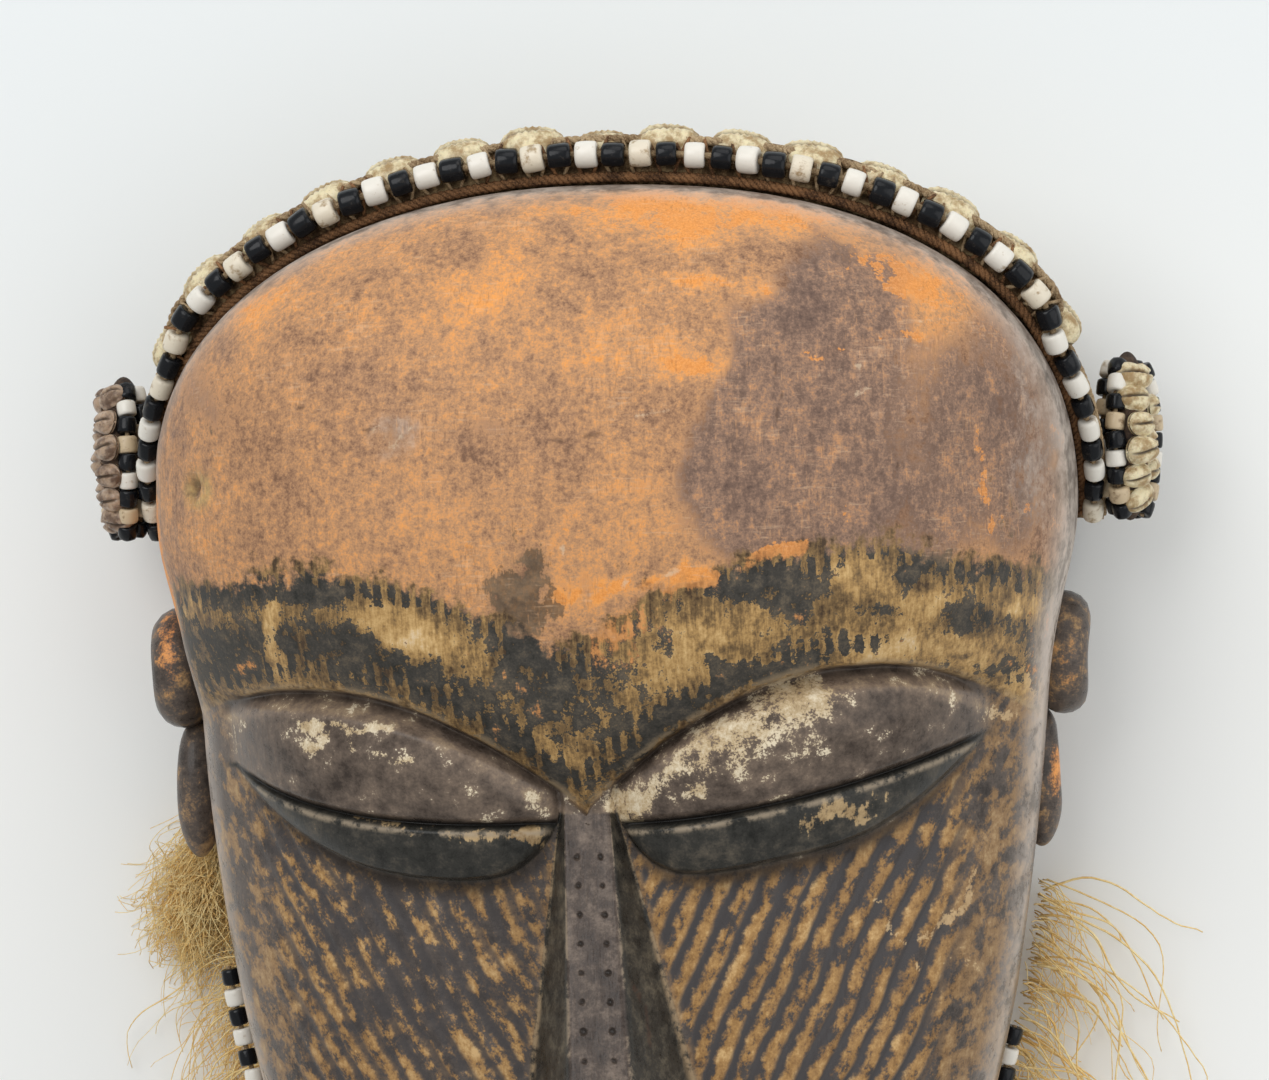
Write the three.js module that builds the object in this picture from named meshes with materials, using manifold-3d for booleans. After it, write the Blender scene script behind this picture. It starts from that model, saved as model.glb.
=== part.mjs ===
// A carved wooden face mask with a sewn cap edged with beads, lying face up on its back.
// Millimetres. X runs across the face, Y toward the crown and Z out of the face.
// Y = 0 is the line through the temples, X = 0 the middle of the outline, and Z = 0 the
// surface that the mask lies on. At the end the whole is moved to the middle of its box.
import * as THREE from "three";
import { mergeVertices } from "three/addons/utils/BufferGeometryUtils.js";
import Module from "manifold-3d";

const wasm = await Module();
wasm.setup();

// Outline of the face as seen from the front
const HALF_WIDTH = 103;
const WIDEST_Y = 8;
const CROWN_HEIGHT = 69;
const CROWN_ROUNDNESS = { left: 2.1, right: 2.3 };
const CHIN_DROP = 227.5;
const JAW_HALF_WIDTH = 96.5;
const JAW_ROUNDNESS = 2.2;
const TEMPLE_FLARE = HALF_WIDTH - JAW_HALF_WIDTH;
const TEMPLE_FLARE_LENGTH = 25;
const CHIN_Y = WIDEST_Y - CHIN_DROP;
const CROWN_Y = WIDEST_Y + CROWN_HEIGHT;

// Heights of the wood: its widest line, its back edge and its front
const JAW_CONTOUR_HEIGHT = 38;
const HAIRLINE_TOP_HEIGHT = 65;
const HAIRLINE_START_Y = -20;
const LIP = 4;
const FOREHEAD_HEIGHT = 119;
const FOREHEAD_FALL = 0.0054;
const CHEEK_HEIGHT = 91;
const CHEEK_RISE = 0.0049;
const CHEEK_Y = -60;
const CHEEK_TOP_Y = -25;
const JAW_WALL_INSET = 4;
const WALL = 8;
const WALL_BEHIND_FOREHEAD = 10;
const WALL_BEHIND_CHEEKS = 9;

// Corners of the grid that the face is drawn on: where its sides meet its top and bottom
const TOP_CORNER_Y = 45;
const BOTTOM_CORNER_Y = -165;

// Eyes: each side has its own lines, as carved. x is measured from the nose's middle.
const EYE = {
  left: {
    browTop: -30.4, browDrop: 27.2, browEndFall: 0.0065,
    slitInner: -59.5, slitRise: 11.9, slitPower: 3.6, slitEnd: 81,
    lidDeepest: 36, lidOuter: 45, lidInnerPower: 4,
  },
  right: {
    browTop: -27, browDrop: 29.5, browEndFall: 0.0107,
    slitInner: -60, slitRise: 17.2, slitPower: 1.9, slitEnd: 84,
    lidDeepest: 50, lidOuter: 34, lidInnerPower: 8,
  },
};
const BROW_PEAK_X = 60;
const EYE_INNER_X = 7;
const LOWER_LID = 12;
const LID_HEIGHT = 13.5;
const SLIT_DEPTH = 2.4;
const SLIT_HALF_WIDTH = 0.9;
const FEATURE_EDGE = 0.7;
const BROW_ROUND = { depth: 5.5, outer: 6, reach: 18 };

// Nose: a long prism with a flat band down its front, leaning slightly
const NOSE_ROOT_Y = -57.5;
const NOSE_ROOT_X = -2;
const NOSE_LEAN = 0.065;
const NOSE_TIP_Y = -143;
const NOSE_ROOT_HEIGHT = 94;
const NOSE_TIP_HEIGHT = 121;
const NOSE_BAND = { root: 4.9, grow: 0.029 };
const NOSE_BASE = { root: 5.9, grow: 0.2 };
const NOSE_END = 9;

// Mouth and chin
const MOUTH = { y: -172, halfWidth: 25, halfHeight: 10.5, height: 9, slit: 3, slitHalfWidth: 1.2 };

// Ears, carved on the sides: a hollow ring above and a lobe below
const EAR = {
  left: { x: -101.8, lobeX: -99.4 },
  right: { x: 99, lobeX: 93.4 },
  y: -27.5, z: 26, ring: 9.6, tube: 4.3,
  lobeY: -55, lobeZ: 24, lobe: [5.8, 16, 8],
};

// Cap, its front ledge and what is sewn on it
const HAIRLINE_END_Y = 3;
const LEDGE = 10.8;
const LEDGE_AT_LOBES = 5.9;
const LEDGE_OVERHANG = 5;
const LEDGE_THICKNESS = 6;
const LOBE_TOP_Y = 42;
const CAP_THICKNESS = 5;
const CAP_TUCK = 14;
const GAP = 0.3;
const BEAD = { pitch: 5.85, length: 4.8, radius: 2.9, place: 0.61, lift: 3.7 };
const JAW_BEAD = {
  pitch: 4.7, radius: 2.3, leftTopY: -95, rightTopY: -112,
  tight: { z: 16, offset: 1.5 }, slack: { z: 28, offset: 4.6 },
};
const COWRIE = { pitch: 14.6, halfWidth: 5.8, halfHeight: 3.3, lift: 3.75 };
const COWRIE_ROWS = [0.86, 0.56, 0.27];
const LOBE = { y: 21, z: 29, halfWidth: 6.2, halfLength: 19.5, halfDepth: 13, offset: 12.6 };
const LOBE_STRINGS = [
  { angle: 90, radius: 2.4, count: 6 },
  { angle: 40, radius: 2.9, count: 5 },
  { angle: -10, radius: 2.9, count: 5 },
];

// Raffia along the jaw, in three tufts: from and to are parts of the way round from the right
const FRINGE = {
  topY: -66, inner: 0.8, bottomZ: 1, topZ: 11,
  right: { from: 0, to: 0.36, thick: 27 },
  chin: { from: 0.37, to: 0.63, thick: 14 },
  left: { from: 0.64, to: 1, thick: 27 },
};

const COLOURS = {
  wood: 0x9c6f4e,
  cloth: 0xa58a5e,
  bead: 0x2a2f36,
  cowrie: 0xd9c9a0,
  raffia: 0xc09450,
};

const lerp = THREE.MathUtils.lerp;
const clamp = THREE.MathUtils.clamp;
const smooth = THREE.MathUtils.smoothstep;
const hump = (t, middle, width) => Math.exp(-(((t - middle) / width) ** 2));

// A quarter arc of a rounded square: 1 at t = 0, and 0 with an upright end at t = 1.
function arc(t, power, root) {
  return Math.pow(Math.max(0, 1 - Math.pow(clamp(Math.abs(t), 0, 1), power)), 1 / root);
}

const roundness = (x) => (x < 0 ? CROWN_ROUNDNESS.left : CROWN_ROUNDNESS.right);

// Half the face's width at height y of the outline, on the side that x is on.
function halfWidth(y, x) {
  if (y > WIDEST_Y) {
    return HALF_WIDTH * arc((y - WIDEST_Y) / CROWN_HEIGHT, roundness(x), roundness(x));
  }
  const below = WIDEST_Y - y;
  const flare = TEMPLE_FLARE * Math.exp(-((below / TEMPLE_FLARE_LENGTH) ** 2));
  return JAW_HALF_WIDTH * arc(below / CHIN_DROP, JAW_ROUNDNESS, JAW_ROUNDNESS) + flare;
}

function crownY(x) {
  return WIDEST_Y + CROWN_HEIGHT * arc(x / HALF_WIDTH, roundness(x), roundness(x));
}

function jawY(x) {
  return WIDEST_Y - CHIN_DROP * arc(x / JAW_HALF_WIDTH, JAW_ROUNDNESS, JAW_ROUNDNESS);
}

// The wood's back edge: on the ground along the jaw, and rising forward along the hairline.
function rimHeight(y) {
  const t = clamp((y - HAIRLINE_START_Y) / (CROWN_Y - HAIRLINE_START_Y), 0, 1);
  return HAIRLINE_TOP_HEIGHT * Math.sin((Math.PI / 2) * t);
}

// The height of the face's widest line.
function contourHeight(y) {
  const hairline = rimHeight(y) + LIP;
  const apart = hairline - JAW_CONTOUR_HEIGHT;
  return 0.5 * (hairline + JAW_CONTOUR_HEIGHT + Math.sqrt(apart * apart + 9));
}

function foreheadMiddle(y) {
  if (y > WIDEST_Y) {
    const edge = contourHeight(CROWN_Y);
    return edge + (FOREHEAD_HEIGHT - edge) * arc((y - WIDEST_Y) / CROWN_HEIGHT, 2.4, 2);
  }
  return FOREHEAD_HEIGHT - FOREHEAD_FALL * (WIDEST_Y - y) ** 2;
}

function cheekMiddle(y) {
  if (y > CHEEK_Y) {
    return CHEEK_HEIGHT + CHEEK_RISE * (Math.min(y, CHEEK_TOP_Y) - CHEEK_Y) ** 2;
  }
  const edge = contourHeight(y);
  return edge + (CHEEK_HEIGHT - edge) * arc((CHEEK_Y - y) / (CHEEK_Y - CHIN_Y), 3.2, 2);
}

function across(x, y, middle, power, root) {
  const edge = contourHeight(y);
  return edge + (middle - edge) * arc(x / Math.max(halfWidth(y, x), 0.01), power, root);
}

const forehead = (x, y) => across(x, y, foreheadMiddle(y), 2.8, 2);
const cheek = (x, y) => across(x, y, cheekMiddle(y), 2.2, 1.7);

function noseX(y) {
  return NOSE_ROOT_X + NOSE_LEAN * clamp(NOSE_ROOT_Y - y, 0, NOSE_ROOT_Y - NOSE_TIP_Y);
}

function noseBand(y) {
  return NOSE_BAND.root + NOSE_BAND.grow * Math.max(0, NOSE_ROOT_Y - y);
}

function noseBase(y) {
  return NOSE_BASE.root + NOSE_BASE.grow * Math.max(0, NOSE_ROOT_Y - y);
}

function eyeAt(x, y) {
  const out = x - noseX(y);
  return { out: Math.abs(out), eye: out < 0 ? EYE.left : EYE.right };
}

// The edge of the forehead over the eyes, and its V down to the nose.
function browLine(out, eye) {
  if (out > BROW_PEAK_X) {
    return eye.browTop - eye.browEndFall * (out - BROW_PEAK_X) ** 2;
  }
  return eye.browTop - eye.browDrop * ((BROW_PEAK_X - out) / BROW_PEAK_X) ** 1.97;
}

function slitLine(out, eye) {
  return eye.slitInner + eye.slitRise * (Math.min(out, eye.slitEnd) / eye.slitEnd) ** eye.slitPower;
}

function lidDepth(out, eye) {
  const inner = out < eye.lidDeepest;
  const q = inner
    ? (eye.lidDeepest - out) / (eye.lidDeepest - EYE_INNER_X)
    : (out - eye.lidDeepest) / eye.lidOuter;
  return LOWER_LID * Math.max(0, 1 - Math.min(1, q) ** (inner ? eye.lidInnerPower : 2));
}

// How far the eye stands out along its length: nothing at its ends.
function eyeFullness(out, eye) {
  const middle = (EYE_INNER_X + eye.slitEnd) / 2;
  return arc((out - middle) / (eye.slitEnd - middle + 1), 3.6, 1);
}

// Height of the lids over the cheek, from the brow's edge down to the lower lid's edge.
function lids(x, y) {
  const { out, eye } = eyeAt(x, y);
  const brow = browLine(out, eye);
  const slit = slitLine(out, eye);
  const low = slit - lidDepth(out, eye);
  const full = LID_HEIGHT * eyeFullness(out, eye);
  const part = y > slit
    ? upperLid(clamp((brow - y) / Math.max(brow - slit, 0.5), 0, 1))
    : lowerLid(clamp((slit - y) / Math.max(slit - low, 0.5), 0, 1));
  const edge = smooth(y, low - FEATURE_EDGE, low + FEATURE_EDGE);
  const groove = hump(y, slit, SLIT_HALF_WIDTH) * Math.min(1, (2 * full) / LID_HEIGHT);
  return full * part * edge - SLIT_DEPTH * groove * (full > 0.01 ? 1 : 0);
}

// The upper lid's section from the brow to the slit: a channel, a ridge and a slope inwards.
function upperLid(q) {
  const ridge = 0.5 * smooth(q, 0.02, 0.24) + 0.05 * smooth(q, 0.2, 0.5);
  return 0.45 + ridge - 0.28 * smooth(q, 0.5, 1.1);
}

// The lower lid's section from the slit down to its rolled edge.
function lowerLid(q) {
  return 0.74 - 0.3 * q ** 2.4;
}

// How far the nose stands out of the cheeks' plane.
function nose(x, y, plane) {
  const along = clamp((NOSE_ROOT_Y - y) / (NOSE_ROOT_Y - NOSE_TIP_Y), 0, 1.2);
  const top = lerp(NOSE_ROOT_HEIGHT, NOSE_TIP_HEIGHT, along) - plane;
  const band = noseBand(y);
  const side = clamp((Math.abs(x - noseX(y)) - band) / (noseBase(y) - band), 0, 1);
  const ends = smooth(y, NOSE_TIP_Y - NOSE_END, NOSE_TIP_Y + 1);
  return Math.max(0, top) * (1 - side) * ends;
}

function mouth(x, y) {
  const across = (x - noseX(y)) / MOUTH.halfWidth;
  const up = (y - MOUTH.y) / MOUTH.halfHeight;
  const lips = MOUTH.height * arc(Math.hypot(across, up), 2.4, 2);
  const slit = MOUTH.slit * hump(y, MOUTH.y, MOUTH.slitHalfWidth) * Math.max(0, 1 - across ** 4);
  return lips - slit;
}

// How far the forehead rounds down toward its edge over the eyes, and more at the temples.
function browFall(y, out, eye) {
  const near = 1 - clamp((y - browLine(out, eye)) / BROW_ROUND.reach, 0, 1);
  return (BROW_ROUND.depth + BROW_ROUND.outer * smooth(out, 60, 84) * (1 - smooth(out, 88, 97))) * near * near;
}

// The height of the carved front at any place inside the outline.
function faceHeight(x, y) {
  const { out, eye } = eyeAt(x, y);
  const plane = cheek(x, y);
  const below = plane + Math.max(lids(x, y), nose(x, y, plane)) + mouth(x, y);
  const soften = FEATURE_EDGE + 16 * smooth(out, 78, 96);
  const above = smooth(y, browLine(out, eye) - soften, browLine(out, eye) + soften);
  return lerp(below, forehead(x, y) - browFall(y, out, eye), above);
}

// The hollow behind it, with walls of true thickness.
function hollowHeight(x, y) {
  const blend = smooth(y, -55, -15);
  const top = lerp(cheekMiddle(y) - WALL_BEHIND_CHEEKS, foreheadMiddle(y) - WALL_BEHIND_FOREHEAD, blend);
  const edge = contourHeight(y) - LIP;
  return edge + (top - edge) * arc(x / Math.max(halfWidth(y, x) - WALL, 0.01), 2.3, 1.9);
}

// Stations from 0 to 1 that crowd where density(t) is high.
function stations(count, density) {
  const steps = 400;
  const sums = [0];
  for (let i = 0; i < steps; i++) {
    sums.push(sums[i] + density((i + 0.5) / steps));
  }
  return Array.from({ length: count + 1 }, (_, k) => {
    const wanted = (sums[steps] * k) / count;
    const i = Math.min(steps - 1, sums.findIndex((s) => s >= wanted - 1e-9) - 1);
    return i < 0 ? 0 : (i + (wanted - sums[i]) / (sums[i + 1] - sums[i])) / steps;
  });
}

// Moves the nearest station onto each wanted place.
function snap(places, wanted) {
  for (const place of wanted) {
    const apart = places.map((p) => Math.abs(p - place));
    places[apart.indexOf(Math.min(...apart))] = place;
  }
}

// Crowds stations toward both ends.
const edges = (t) => 0.35 / Math.sqrt(t + 0.004) + 0.35 / Math.sqrt(1.004 - t);

// Place on the plan for a column a in -1..1 and a row b in 0..1, inset from the outline.
function plan(a, b, inset) {
  const sideY = lerp(BOTTOM_CORNER_Y, TOP_CORNER_Y, b);
  const x = a * (halfWidth(sideY, a) - inset);
  const crown = crownY(a * halfWidth(TOP_CORNER_Y, a)) - TOP_CORNER_Y;
  const chin = jawY(a * halfWidth(BOTTOM_CORNER_Y, a)) - BOTTOM_CORNER_Y;
  const ends = inset * (1 - Math.abs(a) ** 6);
  return [x, sideY + b * (crown - ends) + (1 - b) * (chin + ends)];
}

const FACE_COLUMNS = 28;
const FACE_ROWS = 38;

// Rows and columns that are pulled onto the carved lines, so that their edges stay crisp.
const rowOf = (y) => (y - BOTTOM_CORNER_Y) / (TOP_CORNER_Y - BOTTOM_CORNER_Y);
const BROW_ROW = rowOf(-24);
const SLIT_ROW = rowOf(-50);
const LOW_ROW = rowOf(-62);
const FREE_TOP_ROW = rowOf(22);
const FREE_BOTTOM_ROW = rowOf(-100);
const BAND_COLUMN = 0.062;
const BASE_COLUMN = 0.15;
const FREE_COLUMN = 0.45;

function between(t, places, values) {
  if (t <= places[0] || t >= places[places.length - 1]) {
    return 0;
  }
  const i = places.findIndex((p) => p > t) - 1;
  return lerp(values[i], values[i + 1], (t - places[i]) / (places[i + 1] - places[i]));
}

function carvedPlan(a, b) {
  let [x, y] = plan(a, b, 0);
  const pull = smooth(-y, 25, 62) * (1 - smooth(-y, 150, 175));
  const size = Math.abs(a);
  const unpulled = (column) => column * Math.abs(x / Math.max(size, 1e-6));
  const shifts = [
    0,
    noseBand(y) - unpulled(BAND_COLUMN),
    noseBase(y) + 0.6 - unpulled(BASE_COLUMN),
    0,
  ];
  const sideways = between(size, [0, BAND_COLUMN, BASE_COLUMN, FREE_COLUMN], shifts);
  const lean = noseX(y) * (1 - smooth(size, BASE_COLUMN, FREE_COLUMN));
  x += pull * (Math.sign(a) * sideways + lean);
  const { out, eye } = eyeAt(x, -60);
  const rest = 1 - smooth(out, 82, 98);
  const rowY = (row) => plan(a, row, 0)[1];
  const slit = slitLine(out, eye);
  const lines = [browLine(out, eye), slit, Math.min(slit - lidDepth(out, eye), slit - 2.5)];
  const rows = [BROW_ROW, SLIT_ROW, LOW_ROW];
  const moves = rows.map((row, i) => rest * (lines[i] - rowY(row)));
  const places = [FREE_BOTTOM_ROW, LOW_ROW, SLIT_ROW, BROW_ROW, FREE_TOP_ROW];
  y += between(b, places, [0, moves[2], moves[1], moves[0], 0]);
  return [x, y];
}

// A closed body under a surface drawn on a grid: walls down from its edge, and a flat base.
function bodyUnder(columns, rows, place, height, rings, baseZ) {
  const points = [];
  const faces = [];
  const width = columns.length;
  for (const b of rows) {
    for (const c of columns) {
      const [x, y] = place(2 * c - 1, b);
      points.push([x, y, height(x, y)]);
    }
  }
  for (let r = 0; r + 1 < rows.length; r++) {
    for (let c = 0; c + 1 < width; c++) {
      const k = r * width + c;
      const flip = Math.abs(points[k][2] - points[k + width + 1][2]) <
        Math.abs(points[k + 1][2] - points[k + width][2]);
      if (flip) {
        faces.push([k, k + 1, k + width + 1], [k, k + width + 1, k + width]);
      } else {
        faces.push([k, k + 1, k + width], [k + 1, k + width + 1, k + width]);
      }
    }
  }
  const loop = gridEdge(width, rows.length);
  let upper = loop;
  for (const ring of rings) {
    const lower = loop.map((k, i) => {
      const before = points[loop[(i + loop.length - 1) % loop.length]];
      const after = points[loop[(i + 1) % loop.length]];
      const normal = new THREE.Vector2(after[1] - before[1], before[0] - after[0]).normalize();
      const [inset, z] = ring(points[k]);
      points.push([points[k][0] - normal.x * inset, points[k][1] - normal.y * inset, z]);
      return points.length - 1;
    });
    addWall(faces, upper, lower);
    upper = lower;
  }
  points.push([0, CHEEK_Y, baseZ]);
  upper.forEach((k, i) => faces.push([points.length - 1, upper[(i + 1) % upper.length], k]));
  return toGeometry(points, faces);
}

// The points round a grid's edge, in order.
function gridEdge(width, height) {
  const steps = (count) => Array.from({ length: count - 1 }, (_, i) => i);
  const last = (height - 1) * width;
  return [
    ...steps(width),
    ...steps(height).map((r) => r * width + width - 1),
    ...steps(width).map((c) => last + width - 1 - c),
    ...steps(height).map((r) => last - r * width),
  ];
}

function addWall(faces, upper, lower) {
  upper.forEach((k, i) => {
    const next = (i + 1) % upper.length;
    faces.push([k, lower[i], lower[next]], [k, lower[next], upper[next]]);
  });
}

function toGeometry(points, faces) {
  const geometry = new THREE.BufferGeometry();
  geometry.setAttribute("position", new THREE.Float32BufferAttribute(points.flat(), 3));
  geometry.setIndex(faces.flat());
  return geometry;
}

function toSolid(geometry) {
  const bare = geometry.clone();
  bare.deleteAttribute("normal");
  bare.deleteAttribute("uv");
  const merged = mergeVertices(bare, 1e-4);
  return new wasm.Manifold(new wasm.Mesh({
    numProp: 3,
    vertProperties: new Float32Array(merged.attributes.position.array),
    triVerts: new Uint32Array(merged.index.array),
  }));
}

function fromSolid(solid) {
  const mesh = solid.getMesh();
  const geometry = new THREE.BufferGeometry();
  geometry.setAttribute("position", new THREE.BufferAttribute(mesh.vertProperties, 3));
  geometry.setIndex(new THREE.BufferAttribute(mesh.triVerts, 1));
  return geometry;
}

function named(name, geometry, colour, roughness) {
  const flat = geometry.toNonIndexed();
  flat.deleteAttribute("uv");
  flat.computeVertexNormals();
  const material = new THREE.MeshStandardMaterial({ color: colour, roughness, metalness: 0 });
  const mesh = new THREE.Mesh(flat, material);
  mesh.name = name;
  return mesh;
}

// A tube of any closed section, swept by hand: ring(t) gives its points at stations 0..1.
function swept(stationCount, ring) {
  const points = [];
  const faces = [];
  let before = null;
  for (let i = 0; i <= stationCount; i++) {
    const loop = ring(i / stationCount).map((p) => points.push(p) - 1);
    if (before) {
      addWall(faces, loop, before);
    } else {
      capEnd(points, faces, loop, false);
    }
    before = loop;
  }
  capEnd(points, faces, before, true);
  if (volume(points, faces) < 0) {
    faces.forEach((face) => face.reverse());
  }
  return toGeometry(points, faces);
}

// Six times the volume inside the faces, below zero where they face inwards.
function volume(points, faces) {
  return faces.reduce((sum, face) => {
    const [a, b, c] = face.map((k) => new THREE.Vector3(...points[k]));
    return sum + a.dot(b.cross(c));
  }, 0);
}

function capEnd(points, faces, loop, far) {
  const shape = THREE.ShapeUtils.triangulateShape(flatten(loop.map((k) => points[k])), []);
  for (const [a, b, c] of shape) {
    faces.push(far ? [loop[a], loop[b], loop[c]] : [loop[a], loop[c], loop[b]]);
  }
}

// A ring's points on a plane of their own, for splitting its end into triangles.
function flatten(ring) {
  const origin = new THREE.Vector3(...ring[0]);
  const spread = ring.map((p) => new THREE.Vector3(...p).sub(origin));
  const normal = new THREE.Vector3();
  for (let i = 1; i + 1 < spread.length; i++) {
    normal.add(spread[i].clone().cross(spread[i + 1]));
  }
  normal.normalize();
  const across = spread.reduce((a, b) => (b.length() > a.length() ? b : a)).clone().normalize();
  const up = normal.clone().cross(across);
  return spread.map((p) => new THREE.Vector2(p.dot(across), p.dot(up)));
}

// Wood

function buildFace() {
  const columns = stations(FACE_COLUMNS, (t) => edges(t) + 1.3 * hump(t, 0.5, 0.1));
  const crowded = (t, row) => 1.6 * hump(t, row, 0.032);
  const rows = stations(FACE_ROWS, (t) =>
    edges(t) + crowded(t, BROW_ROW) + crowded(t, SLIT_ROW) + crowded(t, LOW_ROW));
  snap(rows, [BROW_ROW - 0.008, BROW_ROW + 0.008, SLIT_ROW, LOW_ROW - 0.01, LOW_ROW + 0.01]);
  const folds = [-BASE_COLUMN, -BAND_COLUMN, 0, BAND_COLUMN, BASE_COLUMN];
  snap(columns, folds.map((a) => (a + 1) / 2));
  const inset = (depth) => ([, , z]) => [JAW_WALL_INSET * depth * depth, lerp(z, -5, depth)];
  const outer = toSolid(bodyUnder(columns, rows, carvedPlan, faceHeight, [inset(0.35), inset(1)], -5));
  const even = (count) => stations(count, edges);
  const hollowPlan = (a, b) => plan(a, b, WALL);
  const hollow = toSolid(bodyUnder(even(12), even(16), hollowPlan, hollowHeight, [() => [0, -10]], -10));
  return outer.subtract(hollow).add(ear(-1)).add(ear(1)).subtract(backCutter());
}

// What lies behind the wood's back edge: below the hairline, and below the ground.
function backCutter() {
  const profile = new THREE.Shape();
  const reach = HALF_WIDTH + 40;
  profile.moveTo(CHIN_Y - 20, -30);
  profile.lineTo(CROWN_Y + 20, -30);
  profile.lineTo(CROWN_Y + 20, HAIRLINE_TOP_HEIGHT);
  const steps = 14;
  for (let i = 0; i <= steps; i++) {
    const y = lerp(CROWN_Y, HAIRLINE_START_Y, i / steps);
    profile.lineTo(y, rimHeight(y));
  }
  profile.lineTo(CHIN_Y - 20, 0);
  const cut = new THREE.ExtrudeGeometry(profile, { depth: 2 * reach, bevelEnabled: false });
  // The profile is drawn in Y and Z, and the extrusion runs along X.
  cut.applyMatrix4(new THREE.Matrix4().set(0, 0, 1, -reach, 1, 0, 0, 0, 0, 1, 0, 0, 0, 0, 0, 1));
  return toSolid(cut);
}

// A ring with a shallow bowl inside it, over a smaller lobe.
function ear(side) {
  const { x, lobeX } = side < 0 ? EAR.left : EAR.right;
  const ring = new THREE.TorusGeometry(EAR.ring, EAR.tube, 6, 12);
  ring.rotateY(Math.PI / 2);
  ring.scale(1.25, 1, 1.1);
  ring.translate(x, EAR.y, EAR.z);
  const bowl = new THREE.CylinderGeometry(EAR.ring, EAR.ring, 10, 10);
  bowl.rotateZ(Math.PI / 2);
  bowl.translate(x - side * 6, EAR.y, EAR.z);
  const lobe = new THREE.SphereGeometry(1, 8, 6);
  lobe.rotateX(Math.PI / 2);
  lobe.scale(...EAR.lobe);
  lobe.translate(lobeX, EAR.lobeY, EAR.lobeZ);
  return toSolid(ring).add(toSolid(bowl)).add(toSolid(lobe));
}

// Paths along the outline

// A path through points in the plan: its length, and its place and directions at 0..1.
function outlinePath(points) {
  const curve = points.map(([x, y]) => new THREE.Vector2(x, y));
  const lengths = [0];
  for (let i = 1; i < curve.length; i++) {
    lengths.push(lengths[i - 1] + curve[i].distanceTo(curve[i - 1]));
  }
  const total = lengths[lengths.length - 1];
  const at = (t) => {
    const wanted = clamp(t, 0, 1) * total;
    let i = lengths.findIndex((l) => l > wanted) - 1;
    if (i < 0) {
      i = curve.length - 2;
    }
    const f = (wanted - lengths[i]) / (lengths[i + 1] - lengths[i]);
    return curve[i].clone().lerp(curve[i + 1], f);
  };
  const step = 0.004;
  const frame = (t) => {
    const along = at(t + step).sub(at(t - step)).normalize();
    return { point: at(t), along, out: new THREE.Vector2(-along.y, along.x) };
  };
  return { total, frame };
}

// From the left temple over the crown to the right temple.
function hairlinePath() {
  const side = (sign) => {
    const points = [];
    for (let y = HAIRLINE_END_Y; y < TOP_CORNER_Y; y += 3) {
      points.push([sign * halfWidth(y, sign), y]);
    }
    return points;
  };
  const top = [];
  const corners = [-halfWidth(TOP_CORNER_Y, -1), halfWidth(TOP_CORNER_Y, 1)];
  const steps = 48;
  for (let i = 0; i <= steps; i++) {
    const x = lerp(corners[0], corners[1], i / steps);
    top.push([x, crownY(x)]);
  }
  return outlinePath([...side(-1), ...top, ...side(1).reverse()]);
}

// From the right side round the chin and up the left side.
function jawPath(leftTopY, rightTopY) {
  const points = [];
  const corner = halfWidth(BOTTOM_CORNER_Y, 1);
  for (let y = rightTopY; y > BOTTOM_CORNER_Y; y -= 4) {
    points.push([halfWidth(y, 1), y]);
  }
  for (let x = corner; x >= -corner - 0.1; x -= corner / 20) {
    points.push([x, jawY(x)]);
  }
  const up = [];
  for (let y = leftTopY; y > BOTTOM_CORNER_Y; y -= 4) {
    up.push([-halfWidth(y, -1), y]);
  }
  return outlinePath([...points, ...up.reverse()]);
}

// Cap

const ledgeWidth = (y) => lerp(LEDGE_AT_LOBES, LEDGE, smooth(y, LOBE_TOP_Y - 4, LOBE_TOP_Y + 5));
const ledgeHeight = (y) => rimHeight(y) + 3;
const capTuck = (y) => CAP_TUCK * smooth(y, 0, 75);

// How far the cap stands outside the outline, at a part of its height from the back.
function capOut(y, part) {
  const front = ledgeWidth(y) - LEDGE_OVERHANG;
  const back = front - 1 - capTuck(y);
  return back + (front - back) * Math.sqrt(1 - (1 - part) ** 2);
}

// The cap: a ledge that the beads sit on, along the wood's lip, and a wall down from it.
function buildCap() {
  const path = hairlinePath();
  return swept(30, (t) => {
    const { point, out } = path.frame(t);
    const y = point.y;
    const top = ledgeHeight(y);
    const ledge = ledgeWidth(y);
    const wall = top - LEDGE_THICKNESS - 1;
    const outer = [1, 0.55, 0.25].map((part) => [capOut(y, part), wall * part]);
    const inner = [0.25, 0.55].map((part) => [capOut(y, part) - CAP_THICKNESS, wall * part]);
    // Pairs of distance out from the wood's outline and height.
    const section = [
      [GAP + 0.1, top - 0.4],
      [0.3 * ledge, top + 0.8],
      [0.4 * ledge, top - 0.2],
      [0.88 * ledge, top - 0.2],
      [ledge, top - 2],
      [ledge - 0.6, top - LEDGE_THICKNESS],
      ...outer,
      [capOut(y, 0), 0],
      [capOut(y, 0) - CAP_THICKNESS, 0],
      ...inner,
      [GAP + 0.1, wall],
    ];
    return section.map(([o, z]) => [point.x + out.x * o, point.y + out.y * o, z]);
  });
}

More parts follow.
